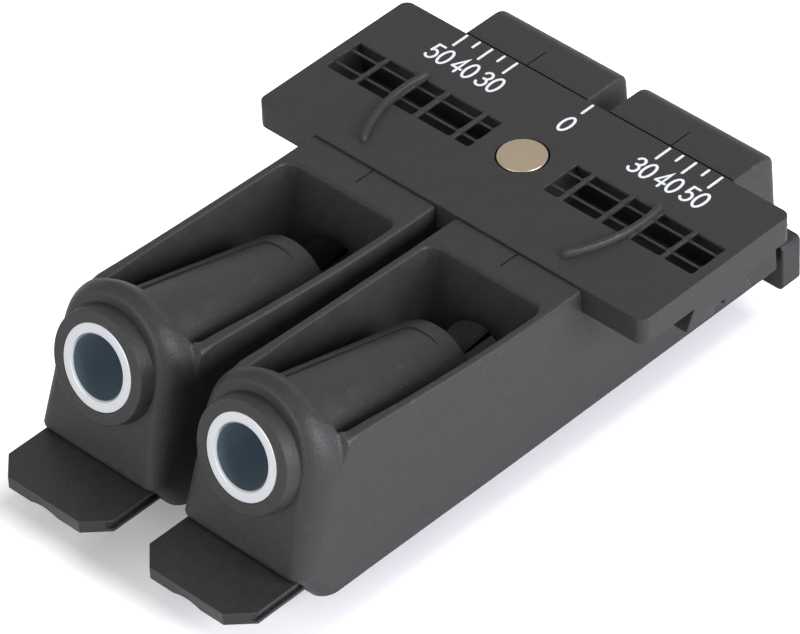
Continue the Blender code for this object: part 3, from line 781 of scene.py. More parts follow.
def body_field(x, y, z):
    """Signed field of a guide body's outer form and chip pocket: below zero inside."""
    half = wall_half(y, z)
    depth, up = drill_axes(y, z)
    ring = numpy.hypot(x, up)
    head = head_front(x, depth, up, half)
    side = numpy.abs(x) - half
    rear = (y - BODY_REAR + z * REAR_RAKE / BODY_HEIGHT) * math.cos(math.atan2(REAR_RAKE, BODY_HEIGHT))
    block = rounded_and(side, rear, REAR_CORNER)
    top = z - wall_top(y)
    cap = rounded_and(top, rear, REAR_ROUND)
    shoulder = 1 - eased(depth, SHOULDER_START, SHOULDER_END)
    block = rounded_and(block, cap, EDGE_ROUND + SHOULDER_ROUND * shoulder)
    free = eased(depth, HEAD_FREE_START, HEAD_DEPTH)
    limit = numpy.maximum(side, head - 30 * MM * free * free)
    block = numpy.maximum(block, limit)
    back = ARCH_BACK + ARCH_SIDE_BACK * (1 - eased(up / numpy.maximum(ring, MM), 0.45, 0.95))
    slope = ((ring - TUBE_RADIUS) + (depth - back)) * math.sqrt(0.5)
    arch = rounded_and(head, slope, CREST_ROUND)
    near = 1 - eased(depth, HEAD_BLEND_START, HEAD_DEPTH)
    shell = numpy.maximum(rounded_or(arch, block, HEAD_SEAM + near * HEAD_BLEND), limit)
    neck = POCKET_NECK * (1 - eased(depth, POCKET_NECK_START, POCKET_NECK_END))
    inner = rounded_and(numpy.abs(x) - (half - POCKET_WALL - neck), depth - POCKET_REAR, POCKET_CORNER)
    above = z - BODY_HEIGHT
    lean = POCKET_SLOPE_HIGH * numpy.maximum(above, 0) - POCKET_SLOPE_LOW * numpy.minimum(above, 0)
    front = POCKET_FRONT - y + lean
    pocket = rounded_and(numpy.maximum(inner, POCKET_FLOOR - z), front, POCKET_NOSE)
    shell = rounded_and(shell, -pocket, EDGE_ROUND * 0.8)
    ends = numpy.maximum(depth - TUBE_LENGTH, TUBE_START - depth)
    tube = rounded_and(ring - TUBE_RADIUS, ends, TUBE_EDGE)
    form = rounded_or(shell, tube, TUBE_FILLET + near * HEAD_BLEND)
    skirt = (SKIRT_Y - y - SKIRT_SLOPE * (z - SKIRT_HEIGHT)) / math.hypot(1, SKIRT_SLOPE)
    form = numpy.maximum(form, rounded_and(skirt, side, SKIRT_CORNER))
    radius = numpy.where(depth > POCKET_REAR - MM, EXIT_RADIUS, BORE_RADIUS)
    bore = numpy.maximum(ring - radius, numpy.maximum(BUSH_LENGTH - depth, y - EXIT_END))
    return rounded_and(form, -bore, BORE_EDGE)


def crossing_cells(field, origin, step):
    """Points of the cells that the field's zero passes through, and each cell's point number."""
    shape = tuple(size - 1 for size in field.shape)
    corners = [field[i:i + shape[0], j:j + shape[1], k:k + shape[2]] < 0
               for i in (0, 1) for j in (0, 1) for k in (0, 1)]
    count = sum(corner.astype(numpy.int8) for corner in corners)
    cells = numpy.argwhere((count > 0) & (count < 8))
    total = numpy.zeros((len(cells), 3))
    hits = numpy.zeros(len(cells))
    for axis in range(3):
        for shift in ((0, 0), (0, 1), (1, 0), (1, 1)):
            start = numpy.insert(numpy.array(shift), axis, 0)
            end = start + numpy.eye(3, dtype=int)[axis]
            first = field[tuple((cells + start).T)]
            second = field[tuple((cells + end).T)]
            crossed = (first < 0) != (second < 0)
            share = numpy.where(crossed, first / numpy.where(crossed, first - second, 1), 0)
            total += crossed[:, None] * (start + share[:, None] * (end - start))
            hits += crossed
    numbers = numpy.full(shape, -1, dtype=numpy.int32)
    numbers[tuple(cells.T)] = numpy.arange(len(cells), dtype=numpy.int32)
    return origin + step * (cells + total / hits[:, None]), numbers


def crossing_faces(field, numbers):
    """Four-cornered faces between neighbouring cells, one across each grid edge that the zero crosses."""
    faces = []
    for axis in range(3):
        inside = numpy.moveaxis(field < 0, axis, 0)
        cells = numpy.moveaxis(numbers, axis, 0)
        change = inside[:-1, 1:-1, 1:-1] != inside[1:, 1:-1, 1:-1]
        i, j, k = numpy.nonzero(change)
        quad = numpy.stack([cells[i, j, k], cells[i, j + 1, k], cells[i, j + 1, k + 1],
                            cells[i, j, k + 1]], axis=1)
        outward = inside[:-1, 1:-1, 1:-1][i, j, k]
        flip = outward == (axis == 1)
        quad[flip] = quad[flip][:, ::-1]
        faces.append(quad)
    return numpy.concatenate(faces)


def settle_points(points, step):
    """Moves points onto the field's zero along its slope."""
    small = 0.01 * MM
    for _ in range(3):
        x, y, z = points.T
        value = body_field(x, y, z)
        slope = numpy.stack([body_field(x + small, y, z) - value, body_field(x, y + small, z) - value,
                             body_field(x, y, z + small) - value], axis=1) / small
        length = numpy.maximum((slope * slope).sum(axis=1), 0.2)
        move = numpy.clip(value / length, -step / 2, step / 2)
        points = points - slope * move[:, None]
    return points


def body_form():
    """Dense closed mesh of the guide body's form, thinned out where it is flat."""
    mould = bpy.context.scene.jig_mould
    step = mould.mesh_step
    low = numpy.array((-BODY_HALF - MM, FACE_Y - 8 * MM, -2 * MM))
    high = numpy.array((BODY_HALF + MM, BODY_REAR + MM, FACE_Z + ARCH_RADIUS + 3 * MM))
    counts = numpy.ceil((high - low) / step).astype(int)
    counts[0] += counts[0] % 2
    low[0] = -step * (counts[0] - 1) / 2
    axes = [low[i] + step * numpy.arange(counts[i]) for i in range(3)]
    x, y, z = numpy.meshgrid(*axes, indexing="ij", sparse=True)
    field = body_field(*numpy.broadcast_arrays(x, y, z))
    field = numpy.maximum(field, (low[2] + 2.5 * step) - z)
    points, numbers = crossing_cells(field, low, step)
    faces = crossing_faces(field, numbers)
    outer = points[:, 2] > low[2] + 4 * step
    points[outer] = settle_points(points[outer], step)
    mesh = bpy.data.meshes.new("guide_body")
    mesh.vertices.add(len(points))
    mesh.vertices.foreach_set("co", points.astype(numpy.float32).ravel())
    mesh.loops.add(faces.size)
    mesh.loops.foreach_set("vertex_index", faces.astype(numpy.int32).ravel())
    mesh.polygons.add(len(faces))
    mesh.polygons.foreach_set("loop_start", numpy.arange(0, faces.size, 4, dtype=numpy.int32))
    mesh.update(calc_edges=True)
    mesh.validate()
    bm = bmesh.new()
    bm.from_mesh(mesh)
    bpy.data.meshes.remove(mesh)
    form = Moulding("guide_body", bm)
    form.modifier("DECIMATE", ratio=mould.kept_share)
    form.apply()
    return form


def section_of_rail(gap, top):
    """Dovetail section of the rail, or of the groove round it where there is a gap, up to a top."""
    foot, neck = RAIL_FOOT + gap, RAIL_NECK + gap
    low = RAIL_BOTTOM - gap
    return [(RAIL_Y - foot, low), (RAIL_Y + foot, low), (RAIL_Y + neck, PLATE_BOTTOM), (RAIL_Y + neck, top),
            (RAIL_Y - neck, top), (RAIL_Y - neck, PLATE_BOTTOM)]


def body_object():
    """Guide body: soft form with crisp seats, channel, index marks and the tube's panel."""
    form = body_form()
    wide = BODY_HALF * 2
    form.cut_now(box((-wide, -REACH, -REACH), (wide, REACH, 0)))
    form.cut_now(cylinder(BUSH_RADIUS + RUN_GAP, -BUSH_LENGTH, REACH, ROUND_SIDES, DRILL_FRAME))
    form.cut_now(box((-wide, -HAIRLINE * 2, PLATE_BOTTOM - HAIRLINE),
                     (wide, PLATE_DEPTH + REAR_SEAM, REACH)))
    groove = section_of_rail(RUN_GAP, PLATE_BOTTOM + RUN_GAP)
    form.cut_now(prism(groove, -wide, wide, SIDE_FRAME))
    channel, mouth = SLIDE_HALF + HAIRLINE * 2, SLIDE_HALF - SLIDE_LEDGE
    form.cut_now(box((-channel, -REACH, SLIDE_UNDER - HAIRLINE * 2), (channel, REACH, CHANNEL_TOP)))
    form.cut_now(box((-mouth, -REACH, -REACH), (mouth, REACH, SLIDE_UNDER)))
    marks = [box((-MARK_HALF, y0, BODY_HEIGHT - MARK_DEPTH), (MARK_HALF, y1, REACH))
             for y0, y1 in ((-FRONT_MARK, MM), (PLATE_DEPTH - MM, PLATE_DEPTH + REAR_MARK))]
    form.cut_now(joined(marks))
    form.cut_now(panel_cutter())
    body = form.finish(45)
    whole = taken_shape(boss_object(), body.data)
    whole.to_mesh(body.data)
    whole.free()
    return body


def boss_object():
    """Crisp ring on the head's face round the guide bush."""
    inner, rim = BUSH_RADIUS + BUSH_GAP, BOSS_RADIUS - BOSS_EDGE
    profile = [(inner, 0.0), (rim - HAIRLINE, 0.0)]
    profile += arc((rim, -BOSS_EDGE), BOSS_EDGE, math.pi / 2, 0.05, 6)
    profile += [(BOSS_FOOT_RADIUS, -BOSS_RISE), (BOSS_FOOT_RADIUS, -BOSS_ROOT), (inner, -BOSS_ROOT)]
    return turned_object("boss_ring", profile, ROUND_SIDES, DRILL_FRAME)


def panel_cutter():
    """Cutter for the shallow panel on top of the guide tube, which is deeper at its left edge."""
    half = TUBE_RADIUS * math.sin(PANEL_TURN)
    outline = rounded_rectangle((-half, -PANEL_END), (half, -PANEL_START), PANEL_CORNER)
    cutter = Moulding("panel", prism(outline, 0, TUBE_RADIUS * 2, DRILL_FRAME @ FRONT_FRAME))
    cutter.cut(cylinder(TUBE_RADIUS - PANEL_DEPTH, -REACH, REACH, 128,
                        DRILL_FRAME @ Matrix.Translation((PANEL_SHIFT, 0, 0))))
    return taken_shape(cutter.apply().thing)


# Connecting plate

WINDOW_FIRST = 7.26 * MM
WINDOW_LENGTHS = tuple(MM * length for length in (3.0, 6.7, 4.2, 5.8, 5.5))
WINDOW_BARS = tuple(MM * length for length in (0.7, 0.8, 1.3, 0.65))
WINDOW_ROWS = tuple(MM * length for length in (1.75, 3.10, 1.60))
WINDOW_ROW_BAR = 0.46 * MM
WINDOW_CORNER = 0.42 * MM
TOOTH_PITCH = 0.5 * MM
TOOTH_DEPTH = 0.22 * MM
ROW_BAR_DROP = 0.35 * MM
ROW_BAR_MARGIN = 0.2 * MM
WEB_THICKNESS = 0.6 * MM
WEB_OVERHANG = 0.4 * MM
RAIL_FLOOR = 1.6 * MM
RIB_RADIUS = 23.3 * MM
RIB_HALF = 0.55 * MM
RIB_HEIGHT = 0.95 * MM
RIB_END_SHARE = 0.035
RIB_START = math.radians(-34)
RIB_END = math.radians(11.6)
MAGNET_RADIUS = 3.8 * MM
MAGNET_GAP = 0.2 * MM
MAGNET_THICKNESS = 3.0 * MM
MAGNET_EDGE = 0.3 * MM
MAGNET_PROUD = 0.1 * MM


def window_columns():
    """Each column of windows as (start, end) along the plate, from the middle outwards."""
    start = WINDOW_FIRST
    for column, length in enumerate(WINDOW_LENGTHS):
        yield start, start + length
        start += length + (WINDOW_BARS[column] if column < len(WINDOW_BARS) else 0)


def window_rows():
    """Each row of windows as (front, rear)."""
    front = RAIL_Y - (sum(WINDOW_ROWS) + WINDOW_ROW_BAR * 2) / 2
    for depth in WINDOW_ROWS:
        yield front, front + depth
        front += depth + WINDOW_ROW_BAR


def toothed_window(start, end, front, rear):
    """Window outline whose rear edge is a fine rack."""
    outline = rounded_rectangle((start, front), (end, rear), WINDOW_CORNER, 4)
    teeth = max(2, round((end - start - 2 * WINDOW_CORNER) / TOOTH_PITCH))
    low, high = start + WINDOW_CORNER, end - WINDOW_CORNER
    rack = []
    for step in range(teeth * 2 - 1):
        x = high - (high - low) * (step + 1) / (teeth * 2)
        rack.append((x, rear - (TOOTH_DEPTH if step % 2 == 0 else 0)))
    return outline[:5] + rack + outline[5:]


def plate_windows():
    """Cutter for all windows of the plate."""
    shapes = []
    rows = list(window_rows())
    low = PLATE_TOP - WEB_THICKNESS - 0.5 * MM
    for start, end in window_columns():
        for side in (-1, 1):
            for front, rear in rows:
                if rear == rows[-1][1]:
                    outline = toothed_window(start, end, front, rear)
                else:
                    outline = rounded_rectangle((start, front), (end, rear), WINDOW_CORNER, 4)
                shapes.append(prism([(side * x, y) for x, y in outline], low, PLATE_TOP + MM, PLAN_FRAME))
    return joined(shapes)


def row_bar_cutter():
    """Cutter that lowers the bars between the rows of windows."""
    shapes = []
    rows = list(window_rows())
    for start, end in window_columns():
        for side in (-1, 1):
            shapes.append(mirrored_box(side * (start + 0.02 * MM), side * (end - 0.02 * MM),
                                       (rows[0][1] - ROW_BAR_MARGIN, PLATE_TOP - ROW_BAR_DROP),
                                       (rows[-1][0] + ROW_BAR_MARGIN, PLATE_TOP + MM)))
    return joined(shapes)


def rib_mesh(side):
    """Arc rib that steadies a clamp pad: a rounded bar of even height with round ends."""
    bm = bmesh.new()
    steps, across = 48, 10
    rings = []
    for step in range(steps + 1):
        share = step / steps
        turn = RIB_START + (RIB_END - RIB_START) * share
        nose = min(1.0, math.sqrt(share / RIB_END_SHARE))
        tail = min(1.0, math.sqrt((1 - share) / RIB_END_SHARE))
        height = RIB_HEIGHT * (0.25 + 0.75 * nose) * (0.35 + 0.65 * tail)
        half = RIB_HALF * (0.35 + 0.65 * nose) * (0.45 + 0.55 * tail)
        ring = []
        for i in range(across + 1):
            a = math.pi * i / across
            radius = RIB_RADIUS + half * math.copysign(abs(math.cos(a)) ** 0.8, math.cos(a))
            z = PLATE_TOP + height * math.sin(a) ** 0.8
            ring.append(bm.verts.new((side * radius * math.cos(turn), RAIL_Y + radius * math.sin(turn), z)))
        low = PLATE_TOP - 0.3 * MM
        for edge in (ring[-1], ring[0]):
            ring.append(bm.verts.new((edge.co.x, edge.co.y, low)))
        rings.append(ring)
    size = across + 3
    for first, second in zip(rings, rings[1:]):
        for i in range(size):
            j = (i + 1) % size
            bm.faces.new((first[i], first[j], second[j], second[i]))
    bm.faces.new(rings[0])
    bm.faces.new(rings[-1])
    return bm


def web_cutter():
    """Cavity in plate and rail that leaves the windows' bars as a thin web at the plate's top."""
    rows = list(window_rows())
    columns = list(window_columns())
    front, rear = rows[0][0] - WEB_OVERHANG, rows[-1][1] + WEB_OVERHANG
    shapes = []
    for side in (-1, 1):
        start, end = side * (columns[0][0] - WEB_OVERHANG), side * (columns[-1][1] + WEB_OVERHANG)
        shapes.append(mirrored_box(start, end, (front, RAIL_BOTTOM + RAIL_FLOOR),
                                   (rear, PLATE_TOP - WEB_THICKNESS)))
    return joined(shapes)


def plate_object():
    """Connecting plate with its rail, windows, row bars, ribs and magnet seat."""
    mould = bpy.context.scene.jig_mould
    outline = rounded_rectangle((-PLATE_HALF, 0), (PLATE_HALF, PLATE_DEPTH), PLATE_CORNER, 8)
    plate = Moulding("plate_moulding", prism(outline, PLATE_BOTTOM, PLATE_TOP, PLAN_FRAME))
    rail = section_of_rail(0, PLATE_BOTTOM + MM)
    plate.add(prism(rail, -PLATE_HALF, PLATE_HALF, SIDE_FRAME))
    plate.cut(box((-REACH, RAIL_Y - RACK_GROOVE_HALF, 0),
                  (REACH, RAIL_Y + RACK_GROOVE_HALF, RAIL_BOTTOM + RACK_GROOVE_DEPTH)))
    plate.cut(plate_windows())
    plate.cut(web_cutter())
    seat = PLATE_TOP - MAGNET_THICKNESS - MAGNET_GAP
    plate.cut(cylinder(MAGNET_RADIUS + MAGNET_GAP, seat, REACH, MAGNET_SIDES,
                       Matrix.Translation((0, RAIL_Y, 0))))
    plate.bevel(mould.edge_round, 3, 50)
    plate.apply()
    plate.cut(row_bar_cutter())
    for side in (-1, 1):
        plate.add(rib_mesh(side))
    plate.apply()
    return plate.finish(40, LARGE_FACE)


# Stop slide

def slide_object():
    """Stop slide: front tab with chamfered corners, side grooves, and the lip at the rear."""
    mould = bpy.context.scene.jig_mould
    half = [(SLIDE_HALF - TAB_CHAMFER, SLIDE_TIP), (SLIDE_HALF, SLIDE_TIP + TAB_CHAMFER),
            (SLIDE_HALF, LIP_REAR - MM)]
    outline = [(-x, y) for x, y in reversed(half)] + half
    slide = Moulding("stop_slide", prism(outline, SLIDE_UNDER, SLIDE_TOP, PLAN_FRAME))
    for side in (-1, 1):
        slide.cut(mirrored_box(side * (SLIDE_HALF - SLIDE_GROOVE), side * SLIDE_HALF * 2,
                               (SLIDE_TIP + TAB_CHAMFER * 0.6, SLIDE_UNDER + 0.5 * MM),
                               (REACH, SLIDE_TOP - 0.4 * MM)))
    slide.cut(box((-SLOT_HALF, SLIDE_TIP + SLOT_START, -REACH), (SLOT_HALF, SLOT_REAR, REACH)))
    notch = Matrix.Translation((0, SLIDE_TIP, SLIDE_UNDER + NOTCH_DEPTH - NOTCH_RADIUS)) @ FRONT_FRAME
    slide.cut(cylinder(NOTCH_RADIUS, -NOTCH_LENGTH, NOTCH_LENGTH, 128, notch))
    slide.bevel(mould.edge_round * 0.6, 2, 35)
    section = rounded_rectangle((-BODY_HALF, -LIP_DROP), (BODY_HALF, SLIDE_UNDER + 0.25 * MM), LIP_EDGE)
    lip = Moulding("lip", prism(section, LIP_FRONT, LIP_REAR, FRONT_FRAME))
    slide.add(taken_shape(lip.bevel(mould.edge_round).apply().thing))
    slide.apply()
    return slide.finish(40, LARGE_FACE)


# Guide bush and clamp magnet

def rounded_profile(corners, radius, steps=5):
    """Closed (radius, z) profile with each corner rounded off."""
    points = []
    count = len(corners)
    for i, corner in enumerate(corners):
        here = Vector(corner)
        before = (Vector(corners[i - 1]) - here).normalized()
        after = (Vector(corners[(i + 1) % count]) - here).normalized()
        start, end = here + before * radius, here + after * radius
        for step in range(steps + 1):
            share = step / steps
            point = start.lerp(here, share).lerp(here.lerp(end, share), share)
            points.append((point.x, point.y))
    return points


def bush_object():
    """Steel guide bush: ground face, small outer chamfer, polished bore mouth."""
    bore, mouth, edge = BUSH_BORE, 0.3 * MM, 0.12 * MM
    outer = BUSH_RADIUS - BUSH_GAP / 2
    end = 0.1 * MM - BUSH_LENGTH
    corners = [(bore + mouth, 0), (outer - edge, 0), (outer, -edge), (outer, end), (bore, end),
               (bore, -mouth)]
    bush = turned_object("guide_bush", rounded_profile(corners, 0.05 * MM), ROUND_SIDES)
    bush.matrix_world = DRILL_FRAME
    return bush


def magnet_object():
    """Nickel-plated disc with a rounded rim."""
    rim = arc((MAGNET_RADIUS - MAGNET_EDGE, -MAGNET_EDGE), MAGNET_EDGE, math.pi / 2, 0, 6)
    profile = [(0, 0.0), *rim, (MAGNET_RADIUS, -MAGNET_THICKNESS), (0, -MAGNET_THICKNESS)]
    return turned_object("magnet_disc", profile, MAGNET_SIDES)


# Printed scale

MARK_LINE = 31.45 * MM
LONG_MARK = 3.4 * MM
SHORT_MARK = 1.9 * MM
ZERO_MARK = 2.3 * MM
ZERO_LIFT = 0.2 * MM
INK_LEVEL = 0.012 * MM
INK_THICKNESS = 0.02 * MM
CROSSING_LIFT = 0.006 * MM


def glyph(name, width, height):
    """Strokes of one numeral about its middle, as lists of points on the stroke's middle line."""
    w, h = width / 2, height / 2
    if name == "0":
        return [[(w * math.cos(a), h * math.sin(a)) for a in (2 * math.pi * i / 40 for i in range(41))]]
    if name == "3":
        upper = [(0.86 * w * math.cos(a), 0.52 * h + 0.48 * h * math.sin(a))
                 for a in (math.radians(160 - i * 12.5) for i in range(21))]
        lower = [(0.98 * w * math.cos(a), -0.47 * h + 0.53 * h * math.sin(a))
                 for a in (math.radians(90 - i * 12.5) for i in range(21))]
        return [[*upper, (-0.25 * w, 0.04 * h)], [(-0.25 * w, 0.06 * h), *lower]]
    if name == "4":
        return [[(0.42 * w, -h), (0.42 * w, h), (-1.05 * w, -0.40 * h)],
                [(-1.05 * w, -0.42 * h), (1.1 * w, -0.42 * h)]]
    bowl = [(-0.04 * w + 1.0 * w * math.cos(a), -0.38 * h + 0.62 * h * math.sin(a))
            for a in (math.radians(138 - i * 15) for i in range(20))]
    return [[(0.85 * w, h), (-0.60 * w, h), (-0.78 * w, 0.03 * h)], bowl]


def stroke_mesh(bm, points, half, z):
    """Flat ribbon of constant width along points, with round ends."""
    path = [Vector(point) for point in points]
    closed = (path[0] - path[-1]).length < half * 0.1
    if closed:
        path = path[:-1]
    count = len(path)
    rows = []
    for i, here in enumerate(path):
        before = path[i - 1] if closed or i else here - (path[1] - here)
        after = path[(i + 1) % count] if closed or i < count - 1 else here + (here - path[i - 1])
        first, second = (here - before).normalized(), (after - here).normalized()
        along = (first + second).normalized()
        across = Vector((-along.y, along.x))
        stretch = half / max(0.35, across.dot(Vector((-first.y, first.x))))
        rows.append([bm.verts.new((*(here + across * stretch * way), z)) for way in (1, -1)])
    pairs = list(zip(rows, rows[1:] + rows[:1]))
    for first, second in pairs if closed else pairs[:-1]:
        bm.faces.new((first[0], first[1], second[1], second[0]))
    if closed:
        return
    for row, end, inner in ((rows[0], path[0], path[1]), (rows[-1], path[-1], path[-2])):
        away = (end - inner).normalized()
        start = math.atan2(row[0].co.y - end.y, row[0].co.x - end.x)
        way = 1 if Vector((-math.sin(start), math.cos(start))).dot(away) > 0 else -1
        ring = arc(end, half, start, start + way * math.pi, 10)[1:-1]
        cap = [bm.verts.new((x, y, z)) for x, y in ring]
        bm.faces.new([row[0], *cap, row[1]])


def scale_object():
    """Numerals 30, 40 and 50 on both sides of 0, with their marks."""
    scale = bpy.context.scene.jig_scale
    half = scale.stroke / 2
    z = PLATE_TOP + INK_LEVEL
    bm = bmesh.new()
    far = MARK_LINE - half
    for spacing in (30, 35, 40, 45, 50):
        length = (SHORT_MARK if spacing % 10 else LONG_MARK) - scale.stroke
        for side in (-1, 1):
            x = side * spacing / 2 * MM
            stroke_mesh(bm, [(x, far - length), (x, far)], half, z)
    stroke_mesh(bm, [(0, far - ZERO_MARK), (0, far)], half, z)
    for number in (30, 40, 50):
        for side in (-1, 1):
            for i, name in enumerate(str(number)):
                middle = side * number / 2 * MM + (i - 0.5) * scale.numeral_pitch
                for level, points in enumerate(glyph(name, scale.numeral_width, scale.numeral_height)):
                    stroke_mesh(bm, [(middle + x, scale.numeral_y + y) for x, y in points], half,
                                z + level * CROSSING_LIFT)
    for points in glyph("0", scale.numeral_width, scale.numeral_height):
        stroke_mesh(bm, [(x, scale.numeral_y + ZERO_LIFT + y) for x, y in points], half, z)
    thing = new_object("scale_print", bm)
    solid = thing.modifiers.new("ink", "SOLIDIFY")
    solid.thickness = INK_THICKNESS
    solid.offset = 0
    return thing


# Operators

class JIG_OT_shaders(bpy.types.Operator):
    """Makes the node groups and the materials of the jig"""
    bl_idname = "jig.make_shaders"
    bl_label = "Make shaders"

    def execute(self, context):
        finish = context.scene.jig_finish
        make_grain_group()
        make_edge_group()
        make_turning_group()
        make_plastic("body_plastic", 0.0)
        make_plastic("plate_plastic", 0.11)
        make_plastic("slide_plastic", 0.23, 0.92)
        make_metal("bush_steel", finish.steel, 0.36, 0.22 * MM, 0.0012 * MM, BUSH_BORE)
        make_metal("magnet_nickel", finish.nickel, 0.36, 0.5 * MM, 0.0001 * MM)
        make_metal("click_steel", finish.spring_steel, 0.3, 0.3 * MM, 0.0002 * MM)
        make_print("scale_ink")
        return {"FINISHED"}


class JIG_OT_bodies(bpy.types.Operator):
    """Builds both guide bodies with their heads, tubes, chip pockets and marks"""
    bl_idname = "jig.build_bodies"
    bl_label = "Build guide bodies"

    def execute(self, context):
        source = body_object()
        for side in SIDES:
            body = place_copy(source, side + "_guide_body", guide_x(side))
            settle(body, side + "_jig", "charcoal_plastic", bpy.data.materials["body_plastic"],
                   side + "_jig_body")
        bpy.data.objects.remove(source, do_unlink=True)
        return {"FINISHED"}


class JIG_OT_plate(bpy.types.Operator):
    """Builds the connecting plate with its windows, ribs and rail"""
    bl_idname = "jig.build_plate"
    bl_label = "Build connecting plate"

    def execute(self, context):
        source = plate_object()
        plate = place_copy(source, "guide_plate", 0)
        settle(plate, "plate", "charcoal_plastic", bpy.data.materials["plate_plastic"], "connecting_plate")
        bpy.data.objects.remove(source, do_unlink=True)
        return {"FINISHED"}


class JIG_OT_slides(bpy.types.Operator):
    """Builds both stop slides with their tabs and lips"""
    bl_idname = "jig.build_slides"
    bl_label = "Build stop slides"

    def execute(self, context):
        source = slide_object()
        for side in SIDES:
            slide = place_copy(source, side + "_edge_slide", guide_x(side))
            settle(slide, side + "_stop", "charcoal_plastic", bpy.data.materials["slide_plastic"],
                   side + "_stop_slide")
        bpy.data.objects.remove(source, do_unlink=True)
        return {"FINISHED"}


class JIG_OT_metal(bpy.types.Operator):
    """Builds the guide bushes and the clamp magnet, and finishes the hidden click parts"""
    bl_idname = "jig.build_metal"
    bl_label = "Build metal parts"

    def execute(self, context):
        source = bush_object()
        context.view_layer.update()
        for side in SIDES:
            bush = place_copy(source, side + "_guide_bush", guide_x(side))
            settle(bush, side + "_jig", "hardened_steel", bpy.data.materials["bush_steel"],
                   side + "_drill_bush")
            for part in ("_stop_ball", "_stop_spring", "_rail_plunger", "_plunger_spring"):
                dress(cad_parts[side + part], bpy.data.materials["click_steel"])
        bpy.data.objects.remove(source, do_unlink=True)
        magnet = magnet_object()
        magnet.location = (0, GUIDE_Y + RAIL_Y, GUIDE_Z + PLATE_TOP + MAGNET_PROUD)
        settle(magnet, "plate", "nickel", bpy.data.materials["magnet_nickel"], "clamp_magnet")
        return {"FINISHED"}


class JIG_OT_scale(bpy.types.Operator):
    """Prints the scale of hole spacings on the plate"""
    bl_idname = "jig.print_scale"
    bl_label = "Print scale"

    def execute(self, context):
        ink = scale_object()
        ink.location = (0, GUIDE_Y, GUIDE_Z)
        settle(ink, "plate", "charcoal_plastic", bpy.data.materials["scale_ink"])
        return {"FINISHED"}


# Stage

LAMP_TARGET = Vector((0, 0, 0.02))
# Rectangle round the jig where the floor's glow is held back: painted shade on the floor.
SHADE_MIDDLE = (0.0, -0.004)
SHADE_HALF = (0.026, 0.050)
SHADE_REACH = 0.010


def camera_matrix(stage):
    """Camera place from its angles, roll, distance and offsets."""
    az, el, roll = stage.azimuth, stage.elevation, stage.roll
    forward = Vector((-math.sin(az) * math.cos(el), math.cos(az) * math.cos(el), -math.sin(el)))
    right = Vector((math.cos(az), math.sin(az), 0))
    up = right.cross(forward)
    turned_right = right * math.cos(roll) + up * math.sin(roll)
    turned_up = -right * math.sin(roll) + up * math.cos(roll)
    origin = Vector((0, GUIDE_Y, GUIDE_Z)) + turned_right * stage.offset_right + turned_up * stage.offset_up
    origin -= forward * stage.distance
    axes = Matrix((turned_right, turned_up, -forward)).transposed().to_4x4()
    return Matrix.Translation(origin) @ axes


def add_lamp(name, place, size, power, colour=(1, 1, 1)):
    """Soft rectangular lamp that points at the jig."""
    lamp = bpy.data.lights.new(name, "AREA")
    lamp.color = colour
    lamp.shape = "RECTANGLE"
    lamp.size, lamp.size_y = size
    lamp.energy = power
    thing = bpy.data.objects.new(name, lamp)
    bpy.context.scene.collection.objects.link(thing)
    thing.location = place
    thing.rotation_euler = (LAMP_TARGET - Vector(place)).to_track_quat("-Z", "Y").to_euler()


def background_rays(maker, mirrored_share):
    """Mask of camera rays, with a share for the glossy and transmission rays that show the background."""
    path = maker.add("ShaderNodeLightPath").outputs
    mirrored = maker.math("MAXIMUM", path["Is Glossy Ray"], path["Is Transmission Ray"])
    return maker.math("MAXIMUM", path["Is Camera Ray"], maker.math("MULTIPLY", mirrored, mirrored_share))


def make_floor_material(stage):
    """Pale floor that the camera sees near white, lit and glowing, with its glow held back round the jig as
    painted shade, so that the jig's shadow is kept.
    """
    material, maker, shader = new_material("studio_floor")
    noise = maker.add("ShaderNodeTexNoise", {"Scale": 35.0, "Detail": 3.0}).outputs["Fac"]
    colour = maker.mix(noise, shade(stage.floor, 0.99), shade(stage.floor, 1.01))
    shader.inputs["Roughness"].default_value = 0.9
    shader.inputs["Specular IOR Level"].default_value = 0.1
    seen = background_rays(maker, 0.35)
    place = maker.add("ShaderNodeTexCoord").outputs["Object"]
    parts = maker.add("ShaderNodeSeparateXYZ", {0: place}).outputs
    sides = []
    for axis, middle, half in zip("XY", SHADE_MIDDLE, SHADE_HALF):
        off = maker.math("ABSOLUTE", maker.math("SUBTRACT", parts[axis], middle))
        over = maker.math("MAXIMUM", maker.math("SUBTRACT", off, half), 0.0)
        sides.append(maker.math("MULTIPLY", over, over))
    away = maker.math("SQRT", maker.math("ADD", *sides))
    # Painted shade: the glow is weaker in and near the rectangle round the jig.
    open_floor = maker.ramp(away, 0.0, SHADE_REACH, 0.15, 1.0)
    shader.inputs["Emission Color"].default_value = (1, 1, 1, 1)
    feed(maker, shader, Base_Color=colour, Emission_Strength=maker.math("MULTIPLY", seen, open_floor))
    return material


def make_world(stage):
    """Even white light from all round, and a white background."""
    world = bpy.data.worlds.new("studio")
    world.use_nodes = True
    maker = GroupMaker(world.node_tree)
    back = world.node_tree.nodes["Background"]
    seen = background_rays(maker, 1.0)
    strength = maker.math("ADD", maker.math("MULTIPLY", seen, 1 - stage.world_light), stage.world_light)
    back.inputs["Color"].default_value = (1, 1, 1, 1)
    feed(maker, back, Strength=strength)
    return world


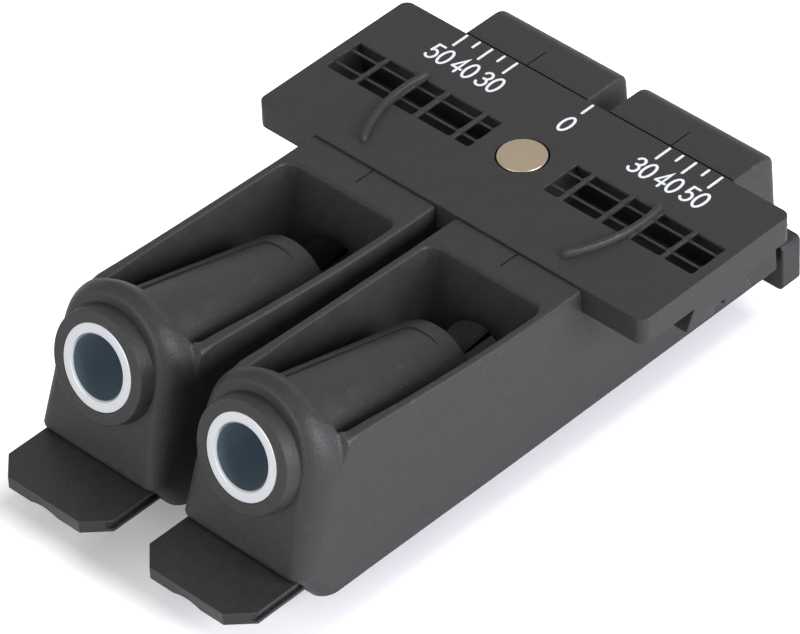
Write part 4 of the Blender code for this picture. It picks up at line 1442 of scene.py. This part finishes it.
class JIG_OT_stage(bpy.types.Operator):
    """Sets up the pale floor, the soft studio lamps and the camera"""
    bl_idname = "jig.build_stage"
    bl_label = "Build stage"

    def execute(self, context):
        scene = context.scene
        stage = scene.jig_stage
        bm = bmesh.new()
        bmesh.ops.create_grid(bm, x_segments=8, y_segments=8, size=3)
        floor = new_object("studio_floor", bm)
        dress(floor, make_floor_material(stage))
        floor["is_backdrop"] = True
        scene.world = make_world(stage)
        add_lamp("key_lamp", (-0.25, 0.35, 0.85), (0.8, 0.8), stage.key_light)
        add_lamp("side_lamp", (0.9, 0.15, 0.35), (0.6, 0.6), stage.side_light, (0.91, 0.90, 1.0))
        add_lamp("front_lamp", (-0.1, -0.95, 0.30), (0.7, 0.5), stage.front_light)
        camera = bpy.data.objects.new("camera", bpy.data.cameras.new("camera"))
        scene.collection.objects.link(camera)
        camera.matrix_world = camera_matrix(stage)
        camera.data.sensor_width = 36
        camera.data.lens = stage.lens
        camera.data.clip_start, camera.data.clip_end = 0.05, 20
        scene.camera = camera
        scene.view_settings.view_transform = "Standard"
        return {"FINISHED"}


OPERATORS = (JIG_OT_shaders, JIG_OT_bodies, JIG_OT_plate, JIG_OT_slides, JIG_OT_metal, JIG_OT_scale,
             JIG_OT_stage)
SETTINGS = (("jig_finish", FinishSettings), ("jig_mould", MouldSettings), ("jig_scale", ScaleSettings),
            ("jig_stage", StageSettings))


class JIG_PT_panel(bpy.types.Panel):
    """Lists the jig's pieces and their settings"""
    bl_idname = "JIG_PT_panel"
    bl_label = "Pocket Hole Jig"
    bl_space_type = "VIEW_3D"
    bl_region_type = "UI"
    bl_category = "Jig"

    def draw(self, context):
        for operator in OPERATORS:
            self.layout.operator(operator.bl_idname)
        for name, settings in SETTINGS:
            column = self.layout.column()
            for key in settings.__annotations__:
                column.prop(getattr(context.scene, name), key)


def register():
    """Registers the settings, the operators and the panel."""
    for _, settings in SETTINGS:
        bpy.utils.register_class(settings)
    for name, settings in SETTINGS:
        setattr(bpy.types.Scene, name, PointerProperty(type=settings))
    for operator in OPERATORS:
        bpy.utils.register_class(operator)
    bpy.utils.register_class(JIG_PT_panel)


def unregister():
    """Takes back what register did."""
    bpy.utils.unregister_class(JIG_PT_panel)
    for operator in reversed(OPERATORS):
        bpy.utils.unregister_class(operator)
    for name, settings in SETTINGS:
        delattr(bpy.types.Scene, name)
        bpy.utils.unregister_class(settings)


def corners():
    """Low and high corner of all that is in the scene."""
    low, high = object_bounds()
    return [list(low), list(high)]


def main():
    """Builds the jig and its stage."""
    register()
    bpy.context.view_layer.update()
    for operator in OPERATORS:
        group, name = operator.bl_idname.split(".")
        getattr(getattr(bpy.ops, group), name)()


if __name__ == "__main__":
    main()
